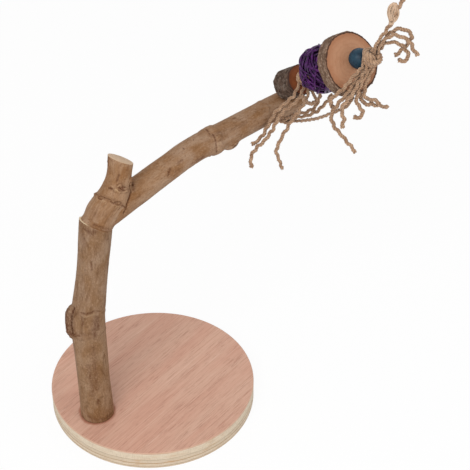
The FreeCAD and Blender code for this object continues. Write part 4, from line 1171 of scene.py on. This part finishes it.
# Wood slice: a slice sawn across a branch, its bark still on, sanded on its faces and drilled a little off
# its pith. Its front was sawn at a slant, so one side is thinner. It turns on the cord.
slice_radius = 0.0248
slice_half = 0.0075
slice_outline_shares = [1, 0.98, 1.01, 1.03, 0.99, 0.97, 1.01, 1.02, 0.98, 0.99]
slice_hole_offset = 0.001
slice_bark_share = 0.905
slice_taper_slope = 0.179
slice_taper_start = 0.003
slice_taper_ease = 0.004
slice_ring_width = 0.0032
slice_sides = 180
slice_edge_ease = 0.0009
slice_relief_start_share = 0.93
slice_relief_full_over = 0.05
slice_sanding_waves = 0.00008


def slice_outline(turn):
    """The branch's radius at a bearing, as a share, eased between the shares counted round it."""
    count = len(slice_outline_shares)
    place = (turn / math.tau * count) % count
    index = int(place)
    s = place - index
    s = s * s * (3 - 2 * s)
    return slice_outline_shares[index] * (1 - s) + slice_outline_shares[(index + 1) % count] * s


bm = turned([
    (bore_radius, -slice_half), (slice_radius - slice_edge_ease, -slice_half),
    (slice_radius, -slice_half + slice_edge_ease), (slice_radius, slice_half - slice_edge_ease),
    (slice_radius - slice_edge_ease, slice_half), (bore_radius, slice_half)], slice_sides, turning_pitch)
slice_grain = []
slice_rim = []
to_pith = Vector((0, slice_hole_offset, 0))
for vert in bm.verts:
    bearing = math.atan2(vert.co.y, vert.co.x)
    share = (vert.co.xy.length - bore_radius) / (slice_radius - bore_radius)
    height = vert.co.z
    around = Vector((math.cos(bearing), math.sin(bearing), 0))
    ridges = noise.noise(Vector((around.x * 9, around.y * 9, height * 60)))
    flakes = noise.noise(Vector((around.x * 30, around.y * 30, height * 260)))
    weight = max(0.0, min(1.0, (share - slice_relief_start_share) / slice_relief_full_over))
    spread = slice_radius * slice_outline(bearing)
    spread += weight * (0.0006 * ridges + 0.00045 * flakes - 0.0003)
    vert.co = (around * bore_radius).lerp(around * spread - to_pith, share)
    # The front face falls away towards one side.
    run = slice_taper_start - vert.co.x
    thin_by = slice_taper_slope * (run + math.hypot(run, slice_taper_ease)) / 2
    thickness_share = 1 - thin_by / (2 * slice_half)
    sanding = noise.noise(Vector((vert.co.x, vert.co.y, height)) * 300)
    vert.co.z = (height + slice_half) * thickness_share - slice_half
    vert.co.z += (1 - weight) * slice_sanding_waves * sanding
    slice_grain.append((vert.co.x, vert.co.y + slice_hole_offset, height))
    slice_rim.append(share)
mark_sawn(bm)
bmesh.ops.transform(bm, matrix=threaded("slice_spin"), verts=bm.verts)
slice_piece = finished("wood_slice_piece", bm, [
    rough_bark_material(
        "slice_bark", rgb(0.300, 0.186, 0.126), rgb(0.52, 0.390, 0.290), rgb(0.090, 0.049, 0.030)),
    heartwood_material(
        "slice_face", rgb(0.475, 0.245, 0.138), rgb(0.360, 0.152, 0.073), rgb(0.055, 0.022, 0.012),
        slice_bark_share, slice_ring_width)], bark_crease_angle)
store(slice_piece.data, "grain", "FLOAT_VECTOR", slice_grain)
store(slice_piece.data, "rim", "FLOAT", slice_rim)
seat(slice_piece, "slice_body", "slice_wood", "wood_slice")


# Bead: a turned wooden bead, drilled through and stained blue, so that its grain shows dark through the
# stain. It turns on the cord.
bead_radius = 0.0083
bead_half = 0.0078
bead_sides = 72
bead_arc_steps = 24
bead_arc = math.radians(70)


def bead_material():
    made, tree, shader = new_material("blue_stain", 0.45, 0.24)
    place = on_piece(tree)
    fibres = speckle(tree, stretch(tree, place, (900, 130, 900), 0.5), 1, 4, 0.6, 0.4)
    cloud = speckle(tree, place, 190, 3)
    colour = tint(tree, between(tree, cloud, 0.3, 0.7), rgb(0.007, 0.024, 0.044), rgb(0.015, 0.050, 0.080))
    colour = tint(tree, between(tree, fibres, 0.5, 0.78, 0.0, 0.75), colour, rgb(0.010, 0.016, 0.024))
    dress(tree, shader, colour, fibres, 0.00012, 0.5, between(tree, fibres, 0.3, 0.7, 0.4, 0.58))
    return made


bead_profile = [(bore_radius, -bead_half)]
for step in range(bead_arc_steps + 1):
    turn = bead_arc * (2 * step / bead_arc_steps - 1)
    bead_profile.append((bead_radius * math.cos(turn), bead_half * math.sin(turn) / math.sin(bead_arc)))
bead_profile.append((bore_radius, bead_half))
bm = turned(bead_profile, bead_sides)
bmesh.ops.transform(bm, matrix=threaded("bead_spin"), verts=bm.verts)
bead_piece = finished("bead_piece", bm, [bead_material()], 50)
seat(bead_piece, "bead_body", "blue_stain", "bead")


# Core cord and knots: the toy is threaded on a jute cord that comes up through the perch and is knotted
# under it, between log and ball, and in front of the bead. The knots are pulled tight and hold the stack.
strand_diameter = 0.0028
strand_tight_share = 0.9
strand_loose_share = 1.16
strand_loosens_over = 0.03
core_diameter = 0.004
core_corner_height = 0.2627
core_lay = 0.011
core_lead = 0.012
core_bend = 0.007
knot_lay = 0.008
knot_steps = 144
knot_fibres = 40
wrap_lay = 0.007
wrap_steps = 60
wrap_turns = 1.06
wrap_share = 0.93
wrap_radius_share = 0.85
twine_plies = 3
kink_wave = (0.0072, 0.0092)
kink_starts_over = 0.005
flare_length = 0.004
fibre_reach = (0.0007, 0.0014)
fibre_radius = (0.00005, 0.00009)
fibre_curl = 0.00045
fray_start = 0.0012
fray_reach = (0.0009, 0.0016)
fray_radius = (0.0001, 0.0002)
fray_bow = 0.0001
# Colour of the painted shade in the gaps between plies and strands.
jute_gap_painted_shade = rgb(0.075, 0.038, 0.020)
knot_middle = {}
for knot in ("rear_knot", "mid_knot", "front_knot"):
    low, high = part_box(knot)
    knot_middle[knot] = (low + high) / 2


def jute_material(name, dark, middle, pale, bleached):
    made, tree, shader = new_material(name, 0.9, 0.08)
    shader.inputs["Sheen Weight"].default_value = 0.2
    shader.inputs["Sheen Roughness"].default_value = 0.6
    place = on_piece(tree)
    cloud = speckle(tree, place, 240, 3)
    fibres = speckle(tree, place, 950, 4, 0.7, 1.5)
    colour = tint(tree, between(tree, cloud, 0.3, 0.7), middle, pale)
    colour = tint(tree, between(tree, fibres, 0.45, 0.72, 0.0, 0.8), colour, dark)
    colour = tint(tree, between(tree, fibres, 0.4, 0.2, 0.0, 0.5), colour, bleached)
    # Painted shade: the jute darkens in the gaps between plies and strands.
    colour = with_painted_hollow_shade(tree, colour, jute_gap_painted_shade, 0.0018, 1.0)
    dress(tree, shader, colour, fibres, 0.00025, 0.7)
    return made


jute = jute_material(
    "jute", rgb(0.15, 0.078, 0.041), rgb(0.36, 0.208, 0.120), rgb(0.52, 0.335, 0.210), rgb(0.70, 0.500, 0.34))


def route_line(points, detail=14):
    """Points read from the smooth line that a cord's route controls."""
    curve = bpy.data.curves.new("route", "CURVE")
    curve.dimensions = "3D"
    curve.resolution_u = detail
    spline = curve.splines.new("NURBS")
    spline.points.add(len(points) - 1)
    for knot, point in zip(spline.points, points):
        knot.co = (*point, 1)
    spline.order_u = 3
    spline.use_endpoint_u = True
    mesh = mesh_from_curve(curve)
    line = [vert.co.copy() for vert in mesh.vertices]
    bpy.data.meshes.remove(mesh)
    return line


def carried_frames(line):
    """Heading, side and up at each point of a line, carried along without twist."""
    frames = []
    side = None
    for behind, ahead in zip(line[:1] + line[:-1], line[1:] + line[-1:]):
        heading = (ahead - behind).normalized()
        if side is None:
            side = heading.orthogonal()
        side = (side - heading * side.dot(heading)).normalized()
        frames.append((heading, side, heading.cross(side)))
    return frames


def lengths_along(line):
    """How far each point lies along its line."""
    lengths = [0.0]
    for behind, ahead in zip(line, line[1:]):
        lengths.append(lengths[-1] + (ahead - behind).length)
    return lengths


def out_of_line(frame_here, turn):
    """The direction square out of a line at a turn about it."""
    _, side, up = frame_here
    return side * math.cos(turn) + up * math.sin(turn)


def kinked(line, reach, rng):
    """A line with the kinks that a strand keeps from the rope it was laid in, but for its first point."""
    phase = rng.uniform(0, math.tau)
    wave = rng.uniform(*kink_wave)
    moved = []
    for point, length, (_, side, up) in zip(line, lengths_along(line), carried_frames(line)):
        turn = math.tau * length / wave + phase
        swing = reach * min(1.0, length / kink_starts_over) * (0.8 + 0.4 * math.sin(length * 310 + phase))
        moved.append(point + swing * (side * math.sin(turn) + up * 0.8 * math.cos(turn)))
    return moved


def laid_runs(line, radius, lay_length, rng, flare=0.0, loosens=False):
    """The plies of a twisted cord along a line, which may loosen as it goes, with a flare at its end."""
    ply_radius = radius / (1 + 1 / math.sin(math.pi / twine_plies))
    ply_offset = radius - ply_radius
    runs = [[] for _ in range(twine_plies)]
    phase = rng.uniform(0, math.tau)
    lengths = lengths_along(line)
    for point, length, frame_here in zip(line, lengths, carried_frames(line)):
        near_end = max(0.0, 1 - (lengths[-1] - length) / flare_length)
        looseness = min(1.0, length / strand_loosens_over)
        full = strand_tight_share + (strand_loose_share - strand_tight_share) * looseness if loosens else 1.0
        swell = full * (1 + flare * near_end ** 2)
        for ply, run in enumerate(runs):
            offset = out_of_line(frame_here, math.tau * (length / lay_length + ply / twine_plies) + phase)
            uneven = 1.06 + 0.06 * math.sin(length * 1500 + ply * 2 + phase)
            thick = ply_radius * full * uneven * (1 + 0.25 * flare * near_end)
            run.append((point + offset * ply_offset * swell, thick))
    return runs


def loose_fibres(line, radius, count, rng):
    """Short stray fibres that stand off a cord."""
    frames = carried_frames(line)
    runs = []
    for _ in range(count):
        index = rng.randrange(1, len(line) - 1)
        out = out_of_line(frames[index], rng.uniform(0, math.tau))
        way = (frames[index][0] * rng.uniform(-1, 1) + out * rng.uniform(0.3, 1.0)).normalized()
        curl = Vector((rng.uniform(-1, 1), rng.uniform(-1, 1), rng.uniform(-1, 1))) * fibre_curl
        start = line[index] + out * radius * 0.8
        along = way * rng.uniform(*fibre_reach)
        thin = rng.uniform(*fibre_radius)
        middle = start + along * 0.5 + curl * 0.5
        runs.append([(start, thin), (middle, thin), (start + along + curl * 1.4, thin * 0.5)])
    return runs


def frayed_end(line, radius, count, rng):
    """The fibres that fan out where a cord was cut."""
    last = carried_frames(line)[-1]
    heading = last[0]
    runs = []
    for _ in range(count):
        out = out_of_line(last, rng.uniform(0, math.tau))
        start = line[-1] - heading * fray_start + out * radius * rng.uniform(0.2, 1.0)
        reach = rng.uniform(*fray_reach)
        tip = start + heading * reach + out * reach * rng.uniform(0.0, 0.7)
        thin = rng.uniform(*fray_radius)
        runs.append([(start, thin), (start.lerp(tip, 0.5) + out * fray_bow, thin), (tip, thin * 0.5)])
    return runs


core_corner = Vector((cord_hole_x, 0, core_corner_height))
core_route = [
    knot_middle["rear_knot"], knot_middle["rear_knot"] + Vector((0, 0, core_lead)),
    core_corner - Vector((0, 0, core_bend)), core_corner, core_corner + toy_axis * core_bend,
    knot_middle["mid_knot"], knot_middle["front_knot"]]
core_runs = laid_runs(route_line(core_route, 24), core_diameter / 2, core_lay, random.Random(11))
core_piece = tube_piece("core_cord_piece", core_runs, jute)
seat(core_piece, "stand", "jute", "core_cord")


def knot_runs(middle, along, radius, half_length, cord_radius, turn_by, rng):
    """A tight overhand knot: a trefoil of cord drawn in to a lump, and two wraps about its waist."""
    turn = along.to_track_quat("Z", "Y").to_matrix()
    room = radius - cord_radius
    trefoil = []
    for step in range(knot_steps + 1):
        s = math.tau * step / knot_steps
        reach = (2 + math.cos(3 * s)) / 3 * room
        local = Vector((
            reach * math.cos(2 * s + turn_by), reach * math.sin(2 * s + turn_by),
            (half_length - cord_radius) * math.sin(3 * s)))
        trefoil.append(middle + turn @ local)
    runs = laid_runs(trefoil, cord_radius, knot_lay, rng)
    for wrap in (-1, 1):
        ring = []
        for step in range(wrap_steps + 1):
            s = math.tau * step / wrap_steps * wrap_turns
            lean = 0.35 * wrap * math.sin(s + wrap + turn_by)
            local = Vector((
                math.cos(s) * room * wrap_share, math.sin(s) * room * wrap_share,
                half_length * (0.32 * wrap + lean)))
            ring.append(middle + turn @ local)
        runs += laid_runs(ring, cord_radius * wrap_radius_share, wrap_lay, rng)
    return runs + loose_fibres(trefoil, cord_radius, knot_fibres, rng)


# Each knot's line, radius, half length, cord radius, and how far it is turned.
knot_sizes = {
    "rear_knot": (Vector((0, 0, 1)), 0.0065, 0.0045, 0.0019, 0.4),
    "mid_knot": (toy_axis, 0.0075, 0.0046, 0.0020, 1.3),
    "front_knot": (toy_axis, 0.0086, 0.0070, 0.0026, 2.2),
}
for knot, (along, radius, half_length, cord_radius, turn_by) in knot_sizes.items():
    rng = random.Random(len(knot) + int(radius * 1e5))
    runs = knot_runs(knot_middle[knot], along, radius, half_length, cord_radius, turn_by, rng)
    seat(tube_piece(knot + "_piece", runs, jute), "stand", "jute", knot)


# Jute ends: the cord's strands, unpicked beyond each knot and left kinked from the twist they were laid in.
# Each is a three-ply jute twine with stray fibres and a cut, flared end. Points are millimetres from the
# knot's middle; lengths are from knot to tip.
millimetre = 0.001
strand_radius = strand_diameter / 2
strand_lay = 0.0066
strand_kink = 0.00068
link_kink = 0.0004
strand_flare = 0.45
fibres_per_metre = 650
fray_fibres = 26
end_routes = [
    ("tassel_end_1", "front_knot", 0.0923, [
        (-2.5, 2, -4), (-5, 1.5, -10.5), (-8.5, 5.5, -17.5), (-14, 5, -23.5), (-23, 4.5, -29.5),
        (-30.5, 6.5, -36), (-33, 9, -45), (-31, 7, -53.5), (-27.5, 3, -60.5), (-24, -3, -67.5),
        (-20.5, -8.5, -75.5)]),
    ("tassel_end_2", "front_knot", 0.0588, [
        (-5, -1, -3), (-6.5, -1.5, -9.5), (-9.5, 1.5, -17), (-14.5, 0.5, -23), (-22, -0.5, -28),
        (-31, -1, -31.5), (-30.5, -1, -38.5), (-29.5, -3.5, -44), (-31, -2.5, -50)]),
    ("tassel_end_3", "front_knot", 0.0582, [
        (-1.5, -2, -4), (-5, -2.5, -10.5), (-9, 0.5, -19), (-12.5, -0.5, -25), (-15, -1, -30),
        (-16, -2, -35), (-11.5, -3.5, -40.5), (-9.5, -4, -46.5), (-11, -2, -51), (-14, 1.5, -50.5)]),
    ("tassel_end_4", "front_knot", 0.0640, [
        (1.5, 0.5, -6), (-3.5, 0.5, -12.5), (-7.5, 4, -22.5), (-9.5, 1.5, -28), (-9.5, 0, -33.5),
        (-5.5, -0.5, -40.5), (1, -2, -43), (8.5, -4, -46), (16, -6, -50.5)]),
    ("tassel_end_5", "front_knot", 0.0479, [
        (0.5, -3, -5), (-3.5, -4, -11.5), (-6, -1.5, -20.5), (-8, -2, -27), (-8, -3, -31.5),
        (-3.5, -2.5, -36.5), (3, -4, -38.5), (6.5, -6, -42.5)]),
    ("tassel_end_6", "front_knot", 0.0511, [
        (-6, 2.5, -3), (-7, 2.5, -9.5), (-11, 7, -15.5), (-17, 7, -21), (-26, 7.5, -25.5),
        (-32.5, 9.5, -29), (-31.5, 11.5, -35), (-28, 11, -39)]),
    ("link_end", "front_knot", 0.1530, [
        (1, 0.5, -4.5), (-3, 1, -11.5), (-8.5, 5.5, -21), (-12.5, 4, -25.5), (-16.5, 2, -31),
        (-19.5, 2.5, -36.5), (-20, 8, -43), (-18.5, 17.5, -51), (-15.5, 29.5, -61.5), (-11, 45, -74.5),
        (-5.5, 62, -87), (0, 78.5, -98.5), (0.5, 90, -104.5)]),
    ("plume_end_1", "front_knot", 0.0510, [
        (-1, -3, 5), (0, -3, 11.5), (4, -5, 18), (7, -7, 24), (8.5, -9.5, 29), (9.5, -11.5, 36),
        (11, -13, 44), (14, -15.5, 51)]),
    ("plume_end_2", "front_knot", 0.0628, [
        (2.5, 1, 5), (5.5, -3, 9.5), (9, -5, 15.5), (12, -7.5, 21.5), (16.5, -11.5, 23.5),
        (20.5, -15.5, 22.5), (25, -17.5, 18), (25.5, -15.5, 11), (22, -12.5, 4.5), (17.5, -8.5, -2)]),
    ("plume_end_3", "front_knot", 0.0455, [
        (2.5, -4, 3.5), (2, -5, 9.5), (4.5, -7.5, 16.5), (9.5, -11, 21), (16, -17.5, 18.5),
        (19.5, -21, 15), (20.5, -23, 9.5), (23, -26.5, 4)]),
    ("plume_end_4", "front_knot", 0.0467, [
        (5.5, -1, 3), (5.5, -4, 8), (9, -7, 12.5), (14, -11, 12.5), (18.5, -15, 9), (21.5, -18, 3.5),
        (21.5, -18.5, -1.5), (19, -16.5, -4.5), (16, -14, -3.5)]),
    ("mid_end_1", "mid_knot", 0.0900, [
        (-3.5, -3, -4), (-9, -7.5, -6), (-13.5, -7, -12.5), (-17.5, -1, -20), (-25, 2, -26),
        (-29, 3, -34), (-35, 3, -41.5), (-43, 3, -46.5), (-52, 4, -50.5), (-56.5, 4, -57.5),
        (-54.5, 4, -67)]),
    ("mid_end_2", "mid_knot", 0.0715, [
        (-6, 0, -1), (-12.5, -5, -3), (-17, -4, -9.5), (-20, 2, -17.5), (-26, 6, -24.5),
        (-30.5, 7.5, -32.5), (-36, 8, -41), (-43, 8, -47), (-50, 8, -48)]),
    ("mid_end_3", "mid_knot", 0.0899, [
        (1.5, -4.5, -4), (-4.5, -9.5, -8.5), (-7.5, -9, -16), (-10, -5, -25), (-13.5, -2, -32),
        (-18.5, -1, -39.5), (-24.5, -1, -45.5), (-27.5, -1, -51), (-31, 0, -56.5), (-28.5, 0, -66.5),
        (-23, 0, -80)]),
    ("mid_end_4", "mid_knot", 0.0505, [
        (5, -1, -4.5), (3, -4, -10.5), (5.5, -9, -17), (2, -11, -20), (-8, -14, -15), (-15.5, -16, -6.5),
        (-19.5, -17, 0.5)]),
    ("rear_end_1", "rear_knot", 0.0507, [
        (4, -1.5, -1), (13, -2, -4), (23.5, -4, -6), (30.5, -8, -2.5), (34.5, -13, 5.5), (37, -18, 16)]),
    ("rear_end_2", "rear_knot", 0.0564, [
        (3.5, 2.5, 0.5), (13, 3.5, -3), (28, 3, -8.5), (34.5, 0, -5), (36, -4, 4), (34, -8, 16.5)]),
]

# The top of the first plume end is unpicked further, to a flat leaf of fibres bound at its foot.
leaf_middle = knot_middle["front_knot"] + Vector((8.6, -10.8, 39.5)) * millimetre
leaf_lean = Vector((0.06, -0.06, 1)).normalized()
leaf_across = camera_right - leaf_lean * camera_right.dot(leaf_lean)
leaf_across.normalize()
leaf_through = leaf_lean.cross(leaf_across)
leaf_half_long = 0.0087
leaf_half_wide = 0.0046
leaf_half_thick = 0.0016
leaf_fibres = 90
leaf_points = 10
leaf_fibre_radius = (0.00022, 0.00042)
leaf_sway = 0.00025
leaf_binding_turns = 3
leaf_binding_steps = 60
leaf_binding_length = 0.0022
leaf_binding_radius = 0.00165
leaf_binding_cord_radius = 0.00045
leaf_jute = jute_material(
    "leaf_jute", rgb(0.36, 0.22, 0.13), rgb(0.60, 0.415, 0.280), rgb(0.69, 0.49, 0.34), rgb(0.80, 0.62, 0.46))


def leaf_runs(rng):
    """Fibres that swell out from the binding and close again at the tip, and the binding's turns."""
    runs = []
    for _ in range(leaf_fibres):
        aside = rng.uniform(-1, 1)
        depth = rng.uniform(-1, 1) * math.sqrt(1 - aside * aside)
        thick = rng.uniform(*leaf_fibre_radius)
        wobble = rng.uniform(0, math.tau)
        run = []
        for step in range(leaf_points):
            s = step / (leaf_points - 1)
            belly = 0.22 + 0.78 * math.sin(math.pi * s ** (1.15 - 0.35 * aside)) ** 0.75
            sway = leaf_sway * math.sin(5 * s + wobble)
            run.append((
                leaf_middle + leaf_lean * leaf_half_long * (2 * s - 1)
                + leaf_across * (leaf_half_wide * aside * belly + sway)
                + leaf_through * leaf_half_thick * depth * belly, thick))
        runs.append(run)
    binding = []
    foot = leaf_middle - leaf_lean * leaf_half_long * 0.98
    for step in range(leaf_binding_steps + 1):
        s = step / leaf_binding_steps
        turn = math.tau * leaf_binding_turns * s
        out = leaf_across * math.cos(turn) + leaf_through * math.sin(turn)
        point = foot + leaf_lean * leaf_binding_length * (s - 0.5) + out * leaf_binding_radius
        binding.append((point, leaf_binding_cord_radius))
    return runs + [binding]


leaf_piece = tube_piece("plume_tip_piece", leaf_runs(random.Random(23)), leaf_jute)
seat(leaf_piece, "stand", "jute", "plume_tip")

for number, (name, knot, length, offsets) in enumerate(end_routes):
    rng = random.Random(100 + number)
    line = route_line([knot_middle[knot] + Vector(offset) * millimetre for offset in offsets])
    joined = name == "link_end"
    strand_line = kinked(line, link_kink if joined else strand_kink, rng)
    runs = laid_runs(
        strand_line, strand_radius, strand_lay, rng, 0.0 if joined else strand_flare, not joined)
    runs += loose_fibres(strand_line, strand_radius, int(length * fibres_per_metre), rng)
    if not joined:
        runs += frayed_end(strand_line, strand_radius * strand_loose_share, fray_fibres, rng)
    end_piece = tube_piece(name + "_piece", runs, jute)
    seat(end_piece, "stand", "jute", name)


# Floor, light and camera: a plain white floor under an even sky, a large soft lamp above and to the left of
# the camera, weaker ones from the right and from behind, and the camera where the photo was taken from.
floor_half = 3
floor_glow_share = 0.92
floor_drop = 0.0002
sky_strength = 0.50
lamp_aim = Vector((0.03, 0, 0.15))


def seen_rays(tree):
    """1 for the rays that show a background: straight from the camera, or by a reflection or glass."""
    rays = add(tree, "LightPath").outputs
    seen = reckon(tree, "MAXIMUM", rays["Is Camera Ray"], rays["Is Glossy Ray"])
    return reckon(tree, "MAXIMUM", seen, rays["Is Transmission Ray"])


def floor_material():
    made, tree, shader = new_material("white_floor", 0.9, 0.0)
    paper = speckle(tree, on_piece(tree), 30, 3)
    colour = tint(tree, paper, rgb(0.955, 0.955, 0.955), rgb(0.975, 0.975, 0.975))
    tree.links.new(colour, shader.inputs["Base Color"])
    glow = add(tree, "Emission", {"Color": rgb(1, 1, 1), "Strength": 1.0})
    bright = add(tree, "MixShader", {"Fac": reckon(tree, "MULTIPLY", seen_rays(tree), floor_glow_share)})
    tree.links.new(shader.outputs["BSDF"], bright.inputs[1])
    tree.links.new(glow.outputs["Emission"], bright.inputs[2])
    tree.links.new(bright.outputs["Shader"], tree.nodes["Material Output"].inputs["Surface"])
    return made


bm = bmesh.new()
floor_place = Matrix.Translation((0, 0, -floor_drop))
bmesh.ops.create_grid(bm, x_segments=4, y_segments=4, size=floor_half, matrix=floor_place)
floor = finished("floor", bm, [floor_material()])

world = bpy.data.worlds.new("even_sky")
world.use_nodes = True
sky = world.node_tree.nodes["Background"]
sky.inputs["Color"].default_value = rgb(1, 1, 1)
sky_seen = between(world.node_tree, seen_rays(world.node_tree), 0.0, 1.0, sky_strength, 1.0)
world.node_tree.links.new(sky_seen, sky.inputs["Strength"])
scene.world = world


def soft_lamp(name, place, width, power):
    """A round lamp that shines at the middle of the stand."""
    lamp = bpy.data.lights.new(name, "AREA")
    lamp.shape = "DISK"
    lamp.size = width
    lamp.energy = power
    made = bpy.data.objects.new(name, lamp)
    made.location = place
    made.rotation_euler = (lamp_aim - Vector(place)).to_track_quat("-Z", "Y").to_euler()
    scene.collection.objects.link(made)


soft_lamp("key_lamp", (-1.15, -0.75, 1.5), 1.25, 21)
soft_lamp("fill_lamp", (0.6, -1.5, 1.1), 1.2, 5)
soft_lamp("back_lamp", (0.9, 1.3, 1.0), 1.2, 2.5)

camera = bpy.data.cameras.new("photo_camera")
camera.sensor_fit = "HORIZONTAL"
camera.sensor_width = 36
camera.lens = camera.sensor_width * camera_focus_pixels / photo_pixels
camera.clip_start = 0.01
camera_object = bpy.data.objects.new("photo_camera", camera)
camera_turn = Matrix((camera_right, camera_up, -camera_ahead)).transposed().to_4x4()
camera_object.matrix_world = Matrix.Translation(camera_place) @ camera_turn
scene.collection.objects.link(camera_object)
scene.camera = camera_object
scene.view_settings.view_transform = "Standard"
